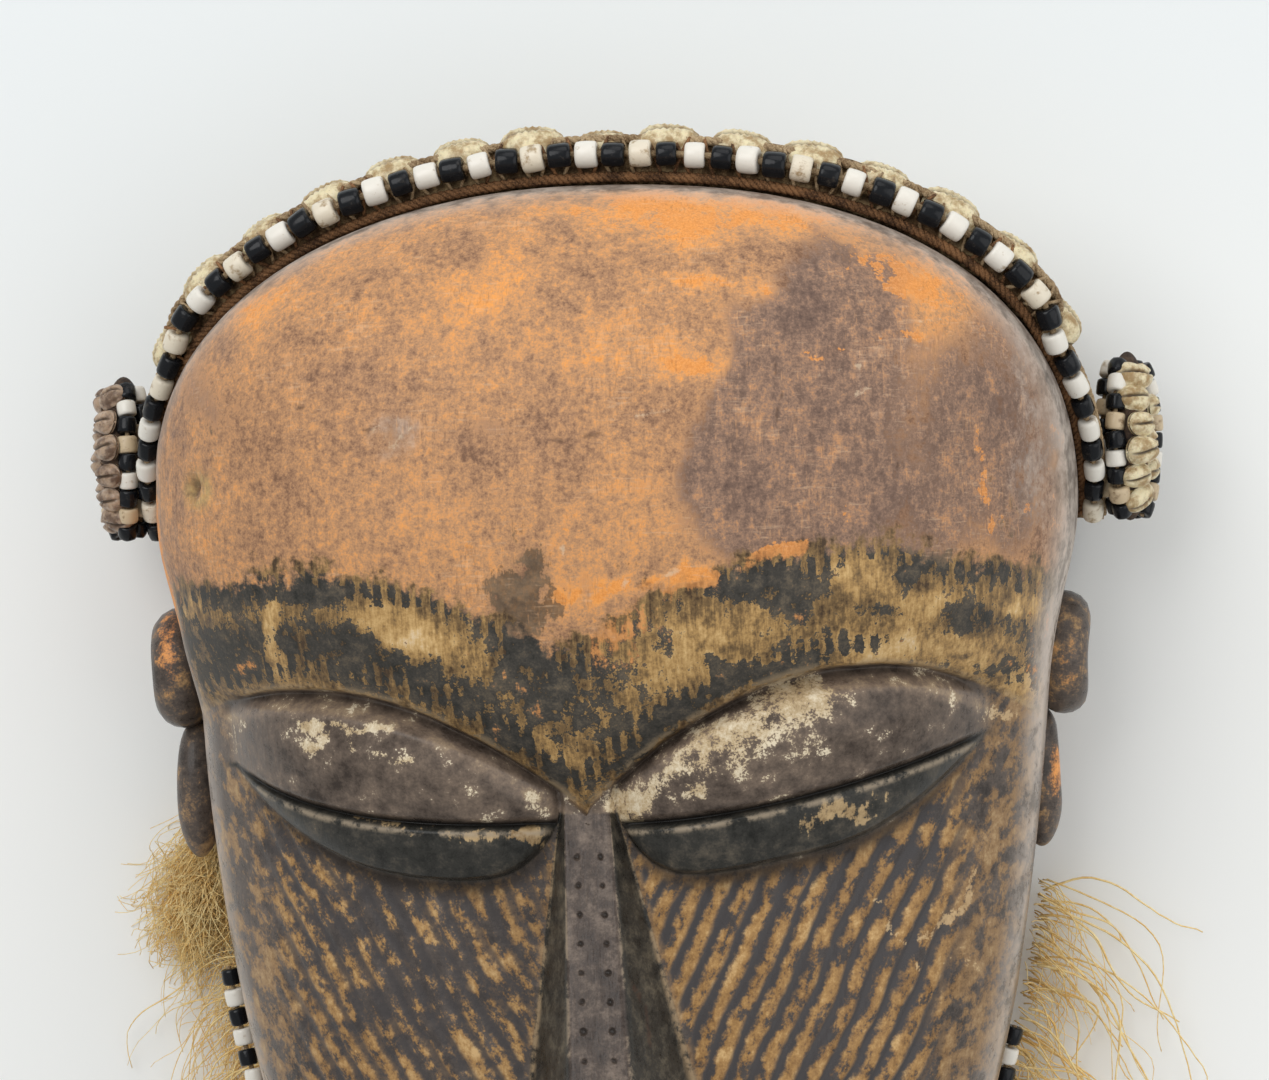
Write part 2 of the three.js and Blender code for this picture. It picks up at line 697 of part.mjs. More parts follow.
// A string of beads or shells along a path: few sides each, with a neck between neighbours.
// size is half the width along the frame's first direction and half the height along its second.
function beadString(count, sides, share, size, neck, frame) {
  const rings = [];
  for (let k = 0; k < count; k++) {
    rings.push({ t: (k + (1 - share) / 2) / count, size });
    if (share > 0) {
      rings.push({ t: (k + (1 + share) / 2) / count, size });
    }
    if (k + 1 < count) {
      rings.push({ t: (k + 1) / count, size: [neck, neck] });
    }
  }
  const last = rings.length - 1;
  return swept(last, (u) => {
    const { t, size: [wide, high] } = rings[Math.round(u * last)];
    const { centre, first, second } = frame(t);
    return Array.from({ length: sides }, (_, s) => {
      const angle = (2 * Math.PI * (s + 0.5)) / sides;
      return centre.clone()
        .addScaledVector(first, wide * Math.cos(angle))
        .addScaledVector(second, high * Math.sin(angle))
        .toArray();
    });
  });
}

// The line of the beads' thread along the ledge, which falls toward the temples.
function beadLine() {
  const path = hairlinePath();
  const steps = 90;
  const points = Array.from({ length: steps + 1 }, (_, i) => {
    const { point, out } = path.frame(i / steps);
    const offset = BEAD.place * ledgeWidth(point.y);
    const z = ledgeHeight(point.y) + BEAD.lift;
    return new THREE.Vector3(point.x + out.x * offset, point.y + out.y * offset, z);
  });
  return new THREE.CatmullRomCurve3(points);
}

function buildHairlineBeads() {
  const line = beadLine();
  const count = Math.round(line.getLength() / BEAD.pitch);
  const share = BEAD.length / BEAD.pitch;
  const up = new THREE.Vector3(0, 0, 1);
  return beadString(count, 4, share, [BEAD.radius, BEAD.radius], 1.2, (t) => {
    const along = line.getTangentAt(t);
    const first = along.clone().cross(up).normalize();
    return { centre: line.getPointAt(t), first, second: first.clone().cross(along) };
  });
}

// A string that is sewn tightly on the right and round the chin, and hangs slack on the left.
function buildJawBeads() {
  const { tight, slack } = JAW_BEAD;
  const path = jawPath(JAW_BEAD.leftTopY, JAW_BEAD.rightTopY);
  const count = Math.round(path.total / JAW_BEAD.pitch);
  return beadString(count, 4, 0, [JAW_BEAD.radius, JAW_BEAD.radius], 1.2, (t) => {
    const { point, out } = path.frame(t);
    const loose = smooth(t, 0.6, 0.85);
    const offset = lerp(tight.offset, slack.offset, loose);
    const z = lerp(tight.z, slack.z, loose);
    return {
      centre: new THREE.Vector3(point.x + out.x * offset, point.y + out.y * offset, z),
      first: new THREE.Vector3(out.x, out.y, 0),
      second: new THREE.Vector3(0, 0, 1),
    };
  });
}

// A place on the cap's outside, lifted off it, with its directions along, across and outward.
function onCap(path, t, part, lift) {
  const { point, along, out } = path.frame(t);
  const top = ledgeHeight(point.y) - LEDGE_THICKNESS - 1;
  const step = 0.02;
  const rise = capOut(point.y, part + step) - capOut(point.y, part - step);
  const facing = new THREE.Vector2(2 * step * top, -rise).normalize();
  const normal = new THREE.Vector3(out.x * facing.x, out.y * facing.x, facing.y);
  const tangent = new THREE.Vector3(along.x, along.y, 0);
  const width = normal.clone().cross(tangent);
  const offset = capOut(point.y, part);
  const centre = new THREE.Vector3(point.x + out.x * offset, point.y + out.y * offset, part * top);
  return { centre: centre.addScaledVector(normal, lift), width, normal };
}

// A row of shells sewn along the cap, end to end on one thread, at a part of its height.
function buildCowrieRow(part) {
  const path = hairlinePath();
  const count = Math.floor((path.total * 0.8) / COWRIE.pitch);
  const half = (count / 2) * (COWRIE.pitch / path.total);
  const size = [COWRIE.halfWidth, COWRIE.halfHeight];
  return beadString(count, 4, 0, size, 1.2, (t) => {
    const place = onCap(path, 0.5 + lerp(-half, half, t), part, COWRIE.lift);
    return { centre: place.centre, first: place.width, second: place.normal };
  });
}

// The padded lobes at the temples, with strings of beads sewn on their fronts.
function buildLobe(side) {
  const x = side * (halfWidth(LOBE.y, side) + LOBE.offset);
  const pad = new THREE.SphereGeometry(1, 7, 6);
  pad.scale(LOBE.halfWidth, LOBE.halfLength, LOBE.halfDepth);
  pad.translate(x, LOBE.y, LOBE.z);
  let solid = toSolid(pad);
  for (const { angle, radius, count } of LOBE_STRINGS) {
    const turn = THREE.MathUtils.degToRad(angle);
    const string = beadString(count, 4, 0.7, [radius, radius], 1.2, (t) => {
      const along = lerp(-0.82, 0.82, t);
      const round = Math.sqrt(1 - along * along);
      return {
        centre: new THREE.Vector3(
          x + side * LOBE.halfWidth * round * Math.cos(turn),
          LOBE.y - side * LOBE.halfLength * along,
          LOBE.z + LOBE.halfDepth * round * Math.sin(turn),
        ),
        first: new THREE.Vector3(side, 0, 0),
        second: new THREE.Vector3(0, 0, 1),
      };
    });
    solid = solid.add(toSolid(string));
  }
  return solid;
}

// A tuft of raffia along the jaw, as a closed lumpy band that thins out toward its ends.
function buildRaffia({ from, to, thick }) {
  const path = jawPath(FRINGE.topY, FRINGE.topY);
  const { inner, bottomZ, topZ } = FRINGE;
  return swept(14, (u) => {
    const { point, out } = path.frame(lerp(from, to, u));
    const fullness = 0.35 + 0.65 * Math.sin(Math.PI * lerp(0.02, 0.98, u));
    const full = thick * fullness * (1 + 0.12 * Math.sin(9 * u));
    const section = [
      [inner, bottomZ],
      [inner, topZ - 0.5],
      [inner + 0.5 * full, topZ],
      [inner + full, lerp(bottomZ, topZ, 0.55)],
      [inner + 0.85 * full, bottomZ + 0.5],
    ];
    return section.map(([o, z]) => [point.x + out.x * o, point.y + out.y * o, z]);
  });
}

const mask = new THREE.Group();
mask.add(named("face", fromSolid(buildFace()), COLOURS.wood, 0.5));
mask.add(named("cap", buildCap(), COLOURS.cloth, 0.95));
mask.add(named("hairline_beads", buildHairlineBeads(), COLOURS.bead, 0.3));
mask.add(named("jaw_beads", buildJawBeads(), COLOURS.bead, 0.3));
COWRIE_ROWS.forEach((part, i) => {
  mask.add(named(`cowrie_row_${i + 1}`, buildCowrieRow(part), COLOURS.cowrie, 0.4));
});
mask.add(named("temple_lobe_left", fromSolid(buildLobe(-1)), COLOURS.bead, 0.4));
mask.add(named("temple_lobe_right", fromSolid(buildLobe(1)), COLOURS.bead, 0.4));
mask.add(named("raffia_right", buildRaffia(FRINGE.right), COLOURS.raffia, 0.95));
mask.add(named("raffia_chin", buildRaffia(FRINGE.chin), COLOURS.raffia, 0.95));
mask.add(named("raffia_left", buildRaffia(FRINGE.left), COLOURS.raffia, 0.95));

// The origin is at the middle of the box, on the surface that the mask lies on.
const box = new THREE.Box3().setFromObject(mask);
const middle = box.getCenter(new THREE.Vector3());
mask.position.set(-middle.x, -middle.y, -box.min.z);
const part = new THREE.Group();
part.add(mask);

export default part;
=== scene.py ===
"""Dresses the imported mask: carved and painted wood, a sewn cap with beads and shells, and raffia.

The carving is worked out in millimetres in the mask's own frame, as the CAD part is: X runs
across the face, Y toward the crown and Z out of the face. Y = 0 is the line through the temples.
piece() turns it into metres in the part's frame.
"""
import math

import bpy
import numpy as np
from mathutils import Matrix, Vector


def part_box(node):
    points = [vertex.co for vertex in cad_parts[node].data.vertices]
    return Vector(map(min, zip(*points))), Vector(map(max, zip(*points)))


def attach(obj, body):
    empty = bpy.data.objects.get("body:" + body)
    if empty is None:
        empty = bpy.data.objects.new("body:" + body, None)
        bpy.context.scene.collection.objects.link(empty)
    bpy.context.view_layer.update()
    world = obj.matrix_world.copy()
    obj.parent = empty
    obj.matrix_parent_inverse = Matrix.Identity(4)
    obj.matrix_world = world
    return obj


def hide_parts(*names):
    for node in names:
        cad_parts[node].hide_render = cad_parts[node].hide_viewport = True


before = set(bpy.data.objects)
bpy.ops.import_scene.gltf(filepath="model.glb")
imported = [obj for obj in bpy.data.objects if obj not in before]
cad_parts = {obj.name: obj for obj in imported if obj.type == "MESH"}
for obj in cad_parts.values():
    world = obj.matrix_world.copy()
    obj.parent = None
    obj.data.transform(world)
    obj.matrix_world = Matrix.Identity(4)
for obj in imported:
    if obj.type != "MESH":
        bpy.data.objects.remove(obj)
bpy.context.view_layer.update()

# Outline of the face as seen from the front
HALF_WIDTH = 103.0
WIDEST_Y = 8.0
CROWN_HEIGHT = 69.0
CROWN_ROUNDNESS_LEFT = 2.1
CROWN_ROUNDNESS_RIGHT = 2.3
CHIN_DROP = 227.5
JAW_HALF_WIDTH = 96.5
JAW_ROUNDNESS = 2.2
TEMPLE_FLARE = HALF_WIDTH - JAW_HALF_WIDTH
TEMPLE_FLARE_LENGTH = 25.0
CHIN_Y = WIDEST_Y - CHIN_DROP
CROWN_Y = WIDEST_Y + CROWN_HEIGHT
TOP_CORNER_Y = 45.0
BOTTOM_CORNER_Y = -165.0

# Heights of the wood
JAW_CONTOUR_HEIGHT = 38.0
CONTOUR_BLEND = 3.0
HAIRLINE_TOP_HEIGHT = 65.0
HAIRLINE_START_Y = -20.0
LIP = 4.0
FOREHEAD_HEIGHT = 119.0
FOREHEAD_FALL = 0.0054
CHEEK_HEIGHT = 91.0
CHEEK_RISE = 0.0049
CHEEK_Y = -60.0
CHEEK_TOP_Y = -25.0
JAW_WALL_INSET = 4.0
WALL_FOOT = -5.0
WALL_STEPS = 8
WALL = 8.0
WALL_BEHIND_FOREHEAD = 10.0
WALL_BEHIND_CHEEKS = 9.0

# Eyes: left and right, as carved
EYES = {
    "brow_top": (-30.4, -27.0), "brow_drop": (27.2, 29.5), "brow_end_fall": (0.0065, 0.0107),
    "slit_inner": (-59.5, -60.0), "slit_rise": (11.9, 17.2), "slit_power": (3.6, 1.9),
    "slit_end": (81.0, 84.0), "lid_deepest": (36.0, 50.0), "lid_outer": (45.0, 34.0),
    "lid_inner_power": (4.0, 8.0),
}
BROW_PEAK_X = 60.0
EYE_INNER_X = 7.0
LOWER_LID = 12.0
LID_HEIGHT = 13.5
SLIT_DEPTH = 2.4
SLIT_HALF_WIDTH = 0.9
FEATURE_EDGE = 0.7
BROW_ROUND_DEPTH = (5.5, 6.0)
BROW_ROUND_REACH = 18.0

# Nose and mouth
NOSE_ROOT = (-2.0, -57.5)
NOSE_LEAN = 0.065
NOSE_TIP_Y = -143.0
NOSE_HEIGHTS = (94.0, 121.0)
NOSE_BAND = (4.9, 0.029)
NOSE_BASE = (5.9, 0.2)
NOSE_END = 9.0
MOUTH_Y = -172.0
MOUTH_HALF = (25.0, 10.5)
MOUTH_HEIGHT = 9.0
MOUTH_SLIT = (3.0, 1.2)

# Fine carving
GROOVE_PITCH = 4.7
GROOVE_DEPTH = 0.6
GROOVE_TURN = math.radians(62)
DOT_PITCH = 5.9
KNOT = (-84.5, 12.5)
KNOT_PIT = (-85.4, 13.0)
KNOT_HOLE = (-85.7, 13.4)
KNOT_HOLE_DEPTH = 1.8

# Ears: the ring's and the lobe's place on each side
EAR_X = (-101.8, 99.0)
EAR_LOBE_X = (-99.4, 93.4)
EAR = (-27.5, 26.0)
EAR_RING = 9.6
EAR_TUBE = 4.3
EAR_LOBE = (-55.0, 24.0)
EAR_LOBE_HALF = (5.8, 16.0, 8.0)
EAR_STEPS = 48

# Cap and what is sewn on it
HAIRLINE_END_Y = 3.0
LEDGE = 10.8
LEDGE_AT_LOBES = 5.9
LEDGE_OVERHANG = 5.0
LEDGE_THICKNESS = 6.0
LOBE_TOP_Y = 42.0
CAP_THICKNESS = 5.0
CAP_TUCK = 14.0
BEAD_PITCH = 5.85
BEAD_LENGTH = 4.8
BEAD_RADIUS = 2.9
BEAD_PLACE = 0.61
BEAD_LIFT = 3.7
BEAD_THREAD = 0.75
STAINED_SHARE = 0.4
STITCH_RADIUS = 0.42
JAW_BEAD_PITCH = 4.7
JAW_BEAD_LENGTH = 3.9
JAW_BEAD_RADIUS = 2.3
JAW_BEAD_THREAD = 0.6
JAW_BEAD_TOPS = (-95.0, -112.0)
JAW_BEADS_TIGHT = (1.5, 16.0)
JAW_BEADS_SLACK = (4.6, 28.0)
COWRIE_PITCH = 14.6
COWRIE_HALF = (6.6, 5.0, 4.6)
LEDGE_COWRIE_HALF = (7.2, 5.0, 4.6)
COWRIE_SPAN = 0.8
COWRIE_ROWS = (0.86, 0.56, 0.27)
LOBE_PLACE = (12.6, 21.0, 29.0)
LOBE_HALF = (6.2, 19.5, 13.0)


# Arithmetic

def smooth(x, low, high):
    t = np.clip((x - low) / (high - low), 0, 1)
    return t * t * (3 - 2 * t)


def lerp(a, b, t):
    return a + (b - a) * t


def arc(t, power, root):
    """A quarter arc of a rounded square: 1 at t = 0, and 0 with an upright end at t = 1."""
    return np.maximum(0, 1 - np.clip(np.abs(t), 0, 1) ** power) ** (1 / root)


def hump(t, middle, width):
    return np.exp(-(((t - middle) / width) ** 2))


def lumps(x, y, size, seed):
    """Smooth noise from -1 to 1 whose lumps are size across."""
    lattice = np.random.default_rng(seed).uniform(-1, 1, (64, 64))
    u, v = np.asarray(x) / size, np.asarray(y) / size
    i, j = np.floor(u).astype(int), np.floor(v).astype(int)
    fu, fv = smooth(u - i, 0, 1), smooth(v - j, 0, 1)
    low = lerp(lattice[i % 64, j % 64], lattice[(i + 1) % 64, j % 64], fu)
    high = lerp(lattice[i % 64, (j + 1) % 64], lattice[(i + 1) % 64, (j + 1) % 64], fu)
    return lerp(low, high, fv)


def unit(vectors):
    return vectors / np.maximum(np.linalg.norm(vectors, axis=-1, keepdims=True), 1e-9)


# The carving's shape

def half_width(y, x):
    """Half the face's width at height y of the outline, on the side that x is on."""
    n = np.where(x < 0, CROWN_ROUNDNESS_LEFT, CROWN_ROUNDNESS_RIGHT)
    crown = HALF_WIDTH * arc((y - WIDEST_Y) / CROWN_HEIGHT, n, n)
    below = np.maximum(WIDEST_Y - y, 0)
    flare = TEMPLE_FLARE * np.exp(-((below / TEMPLE_FLARE_LENGTH) ** 2))
    jaw = JAW_HALF_WIDTH * arc(below / CHIN_DROP, JAW_ROUNDNESS, JAW_ROUNDNESS) + flare
    return np.where(y > WIDEST_Y, crown, jaw)


def crown_y(x):
    n = np.where(x < 0, CROWN_ROUNDNESS_LEFT, CROWN_ROUNDNESS_RIGHT)
    return WIDEST_Y + CROWN_HEIGHT * arc(x / HALF_WIDTH, n, n)


def jaw_y(x):
    return WIDEST_Y - CHIN_DROP * arc(x / JAW_HALF_WIDTH, JAW_ROUNDNESS, JAW_ROUNDNESS)


def rim_height(y):
    """The wood's back edge, on the ground along the jaw and rising along the hairline."""
    t = np.clip((y - HAIRLINE_START_Y) / (CROWN_Y - HAIRLINE_START_Y), 0, 1)
    return HAIRLINE_TOP_HEIGHT * np.sin(math.pi / 2 * t)


def contour_height(y):
    hairline = rim_height(y) + LIP
    apart = hairline - JAW_CONTOUR_HEIGHT
    return 0.5 * (hairline + JAW_CONTOUR_HEIGHT + np.sqrt(apart * apart + CONTOUR_BLEND ** 2))


def forehead_middle(y):
    edge = contour_height(np.full_like(y, CROWN_Y))
    top = edge + (FOREHEAD_HEIGHT - edge) * arc((y - WIDEST_Y) / CROWN_HEIGHT, 2.4, 2)
    low = FOREHEAD_HEIGHT - FOREHEAD_FALL * (WIDEST_Y - y) ** 2
    return np.where(y > WIDEST_Y, top, low)


def cheek_middle(y):
    edge = contour_height(y)
    chin = edge + (CHEEK_HEIGHT - edge) * arc((CHEEK_Y - y) / (CHEEK_Y - CHIN_Y), 3.2, 2)
    rise = CHEEK_HEIGHT + CHEEK_RISE * (np.minimum(y, CHEEK_TOP_Y) - CHEEK_Y) ** 2
    return np.where(y > CHEEK_Y, rise, chin)


def across(x, y, middle, power, root):
    edge = contour_height(y)
    return edge + (middle - edge) * arc(x / np.maximum(half_width(y, x), 0.01), power, root)


def forehead(x, y):
    return across(x, y, forehead_middle(y), 2.8, 2)


def cheek(x, y):
    return across(x, y, cheek_middle(y), 2.2, 1.7)


def nose_x(y):
    root_x, root_y = NOSE_ROOT
    return root_x + NOSE_LEAN * np.clip(root_y - y, 0, root_y - NOSE_TIP_Y)


def nose_band(y):
    return NOSE_BAND[0] + NOSE_BAND[1] * np.maximum(0, NOSE_ROOT[1] - y)


def nose_base(y):
    return NOSE_BASE[0] + NOSE_BASE[1] * np.maximum(0, NOSE_ROOT[1] - y)


def eye_lines(x, y):
    """How far out from the nose a place is, and its eye's brow, slit and lower lid lines there."""
    out = x - nose_x(y)
    eye = {name: np.where(out < 0, left, right) for name, (left, right) in EYES.items()}
    out = np.abs(out)
    past = np.maximum(out - BROW_PEAK_X, 0)
    before = np.clip((BROW_PEAK_X - out) / BROW_PEAK_X, 0, None)
    brow = eye["brow_top"] - eye["brow_end_fall"] * past ** 2 - eye["brow_drop"] * before ** 1.97
    along = np.minimum(out, eye["slit_end"]) / eye["slit_end"]
    slit = eye["slit_inner"] + eye["slit_rise"] * along ** eye["slit_power"]
    inner = out < eye["lid_deepest"]
    inward = (eye["lid_deepest"] - out) / (eye["lid_deepest"] - EYE_INNER_X)
    outward = (out - eye["lid_deepest"]) / eye["lid_outer"]
    q = np.clip(np.where(inner, inward, outward), 0, 1)
    depth = LOWER_LID * (1 - q ** np.where(inner, eye["lid_inner_power"], 2))
    middle = (EYE_INNER_X + eye["slit_end"]) / 2
    full = arc((out - middle) / (eye["slit_end"] - middle + 1), 3.6, 1)
    return out, brow, slit, slit - depth, full


def lids(x, y):
    """Height of the lids over the cheek, from the brow's edge down to the lower lid's edge."""
    _, brow, slit, low, full = eye_lines(x, y)
    q = np.clip((brow - y) / np.maximum(brow - slit, 0.5), 0, 1)
    ridge = 0.5 * smooth(q, 0.02, 0.24) + 0.05 * smooth(q, 0.2, 0.5)
    upper = 0.45 + ridge - 0.28 * smooth(q, 0.5, 1.1)
    q = np.clip((slit - y) / np.maximum(slit - low, 0.5), 0, 1)
    lower = 0.74 - 0.3 * q ** 2.4
    part = np.where(y > slit, upper, lower)
    edge = smooth(y, low - FEATURE_EDGE, low + FEATURE_EDGE)
    groove = hump(y, slit, SLIT_HALF_WIDTH) * np.minimum(1, 2 * full)
    return LID_HEIGHT * full * part * edge - SLIT_DEPTH * groove * (full > 0.001)


def nose(x, y, plane):
    along = np.clip((NOSE_ROOT[1] - y) / (NOSE_ROOT[1] - NOSE_TIP_Y), 0, 1.2)
    top = lerp(NOSE_HEIGHTS[0], NOSE_HEIGHTS[1], along) - plane
    band = nose_band(y)
    side = np.clip((np.abs(x - nose_x(y)) - band) / (nose_base(y) - band), 0, 1)
    return np.maximum(0, top) * (1 - side) * smooth(y, NOSE_TIP_Y - NOSE_END, NOSE_TIP_Y + 1)


def mouth(x, y):
    wide = (x - nose_x(y)) / MOUTH_HALF[0]
    lips = MOUTH_HEIGHT * arc(np.hypot(wide, (y - MOUTH_Y) / MOUTH_HALF[1]), 2.4, 2)
    return lips - MOUTH_SLIT[0] * hump(y, MOUTH_Y, MOUTH_SLIT[1]) * np.maximum(0, 1 - wide ** 4)


def brow_fall(y, out, brow):
    """How far the forehead rounds down toward its edge over the eyes, and more at the temples."""
    near = 1 - np.clip((y - brow) / BROW_ROUND_REACH, 0, 1)
    outer = smooth(out, 60, 84) * (1 - smooth(out, 88, 97))
    return (BROW_ROUND_DEPTH[0] + BROW_ROUND_DEPTH[1] * outer) * near * near


def face_height(x, y):
    out, brow, _, _, _ = eye_lines(x, y)
    plane = cheek(x, y)
    below = plane + np.maximum(lids(x, y), nose(x, y, plane)) + mouth(x, y)
    soften = FEATURE_EDGE + 16 * smooth(out, 78, 96)
    worn = 0.35 * lumps(x, y, 7, 3)
    above = smooth(y + worn, brow - soften, brow + soften)
    return lerp(below, forehead(x, y) - brow_fall(y, out, brow), above)


def hollow_height(x, y):
    cheeks = cheek_middle(y) - WALL_BEHIND_CHEEKS
    top = lerp(cheeks, forehead_middle(y) - WALL_BEHIND_FOREHEAD, smooth(y, -55, -15))
    edge = contour_height(y) - LIP
    return edge + (top - edge) * arc(x / np.maximum(half_width(y, x) - WALL, 0.01), 2.3, 1.9)


# The grid that the carving is drawn on

def stations(count, density):
    """Stations from 0 to 1 that crowd where density is high."""
    t = (np.arange(800) + 0.5) / 800
    sums = np.concatenate([[0], np.cumsum(density(t))])
    return np.interp(np.linspace(0, sums[-1], count + 1), sums, np.linspace(0, 1, 801))


def plan(a, b, inset):
    """Place on the plan for a column a in -1..1 and a row b in 0..1, inset from the outline."""
    side_y = lerp(BOTTOM_CORNER_Y, TOP_CORNER_Y, b)
    x = a * (half_width(side_y, a) - inset)
    crown = crown_y(a * half_width(np.full_like(a, TOP_CORNER_Y), a)) - TOP_CORNER_Y
    chin = jaw_y(a * half_width(np.full_like(a, BOTTOM_CORNER_Y), a)) - BOTTOM_CORNER_Y
    ends = inset * (1 - np.abs(a) ** 6)
    return x, side_y + b * (crown - ends) + (1 - b) * (chin + ends)


def row_of(y):
    return (y - BOTTOM_CORNER_Y) / (TOP_CORNER_Y - BOTTOM_CORNER_Y)


BROW_ROW, SLIT_ROW, LOW_ROW = row_of(-24), row_of(-50), row_of(-62)
FREE_ROWS = (row_of(-100), row_of(22))
BAND_COLUMN, BASE_COLUMN, FREE_COLUMN = 0.062, 0.15, 0.45


def between(t, places, values):
    """Straight lines through values at places, and nothing outside them."""
    found = np.zeros_like(t)
    for start, end, first, last in zip(places, places[1:], values, values[1:]):
        inside = (t > start) & (t <= end)
        found = np.where(inside, first + (last - first) * (t - start) / (end - start), found)
    return found


def carved_plan(a, b):
    """The plan with its rows and columns pulled onto the carved lines."""
    x, y = plan(a, b, 0)
    pull = smooth(-y, 25, 62) * (1 - smooth(-y, 150, 175))
    size = np.abs(a)
    each = np.abs(x) / np.maximum(size, 1e-6)
    shifts = [0, nose_band(y) - BAND_COLUMN * each, nose_base(y) + 0.6 - BASE_COLUMN * each, 0]
    sideways = between(size, [0, BAND_COLUMN, BASE_COLUMN, FREE_COLUMN], shifts)
    lean = nose_x(y) * (1 - smooth(size, BASE_COLUMN, FREE_COLUMN))
    x = x + pull * (np.sign(a) * sideways + lean)
    out, brow, slit, low, _ = eye_lines(x, np.full_like(x, -60))
    rest = 1 - smooth(out, 82, 98)
    lines = [np.minimum(low, slit - 2.5), slit, brow]
    rows = [LOW_ROW, SLIT_ROW, BROW_ROW]
    moves = [rest * (line - plan(a, np.full_like(b, row), 0)[1]) for line, row in zip(lines, rows)]
    y = y + between(b, [FREE_ROWS[0], *rows, FREE_ROWS[1]], [0, *moves, 0])
    return x, y


def crowded_ends(t):
    return 0.3 / np.sqrt(t + 0.006) + 0.3 / np.sqrt(1.006 - t)


# Meshes

class Shape:
    """Points in millimetres, faces, each face's material and values that the points carry."""

    def __init__(self):
        self.points, self.faces, self.kinds, self.values, self.count = [], [], [], {}, 0

    def add(self, points, faces, kind=0, **values):
        points = np.asarray(points, float).reshape(-1, 3)
        for name, value in values.items():
            self.values.setdefault(name, []).append((self.count, np.asarray(value, float).ravel()))
        self.points.append(points)
        for group in faces:
            self.faces.extend((np.asarray(group) + self.count).tolist())
            self.kinds.extend([kind] * len(group))
        self.count += len(points)
        return self


def grid_faces(rows, columns, closed=False, looped=False):
    """Faces of a grid of points, row by row.

    A closed grid joins its last column to its first, and a looped grid its last row to its first.
    """
    r, c = np.meshgrid(np.arange(rows - (not looped)), np.arange(columns - (not closed)), indexing="ij")
    after = (c + 1) % columns
    here, following = r * columns, (r + 1) % rows * columns
    quads = [here + c, here + after, following + after, following + c]
    return np.stack(quads, axis=-1).reshape(-1, 4)


def full_turn(count):
    """Angles all the way round, in equal steps."""
    return np.linspace(0, 2 * math.pi, count + 1)[:-1]


def tube(points, radius, sides=6):
    """A closed tube along points. radius is one number, or one for each point."""
    points = np.asarray(points, float)
    radius = np.broadcast_to(radius, len(points))
    along = unit(np.gradient(points, axis=0))
    first = np.cross(along[0], [0.31, 0.22, 0.92])
    firsts = []
    for direction in along:
        first = first - direction * first.dot(direction)
        first = first / math.sqrt(first.dot(first))
        firsts.append(first)
    firsts = np.array(firsts)
    seconds = np.cross(along, firsts)
    turns = np.arange(sides) * 2 * math.pi / sides
    ring = (np.cos(turns)[None, :, None] * firsts[:, None] + np.sin(turns)[None, :, None] * seconds[:, None])
    made = points[:, None] + radius[:, None, None] * ring
    last = (len(points) - 1) * sides + np.arange(sides)
    ends = [np.arange(sides)[::-1][None], last[None]]
    return made.reshape(-1, 3), [grid_faces(len(points), sides, True), *ends]


def piece(name, shape, materials, replaces=()):
    """Makes an object of a shape, which rides on the part's body."""
    points = (np.concatenate(shape.points) * 0.001 + SHIFT).tolist()
    mesh = bpy.data.meshes.new(name)
    mesh.from_pydata(points, [], shape.faces)
    for material in materials:
        mesh.materials.append(material.material)
    mesh.polygons.foreach_set("material_index", shape.kinds)
    mesh.polygons.foreach_set("use_smooth", [True] * len(mesh.polygons))
    for label, parts in shape.values.items():
        values = np.zeros(len(points), np.float32)
        for start, value in parts:
            values[start:start + len(value)] = value
        mesh.attributes.new(label, "FLOAT", "POINT").data.foreach_set("value", values)
    mesh.update()
    made = bpy.data.objects.new(name, mesh)
    bpy.context.scene.collection.objects.link(made)
    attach(made, "root")
    if replaces:
        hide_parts(*replaces)
    return made


# The mask's frame in the part's frame, read from the nodes that share its chin and its middle line
face_low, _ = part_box("face")
cap_low, cap_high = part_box("cap")
SHIFT = np.array([(cap_low[0] + cap_high[0]) / 2, face_low[1] - CHIN_Y * 0.001, 0.0])


# Shader trees

# Sockets of the mix node that carry colours: its number sockets have the same names
MIX_FIRST_COLOUR, MIX_SECOND_COLOUR, MIX_COLOUR = 6, 7, 2


class Wire:
    """A socket's value, which can be added, multiplied and so on."""

    def __init__(self, shader, socket):
        self.shader, self.socket = shader, socket

    def __add__(self, other):
        return self.shader.math("ADD", self, other)

    def __sub__(self, other):
        return self.shader.math("SUBTRACT", self, other)

    def __rsub__(self, other):
        return self.shader.math("SUBTRACT", other, self)

    def __mul__(self, other):
        return self.shader.math("MULTIPLY", self, other)

    def __truediv__(self, other):
        return self.shader.math("DIVIDE", self, other)

    __radd__ = __add__
    __rmul__ = __mul__


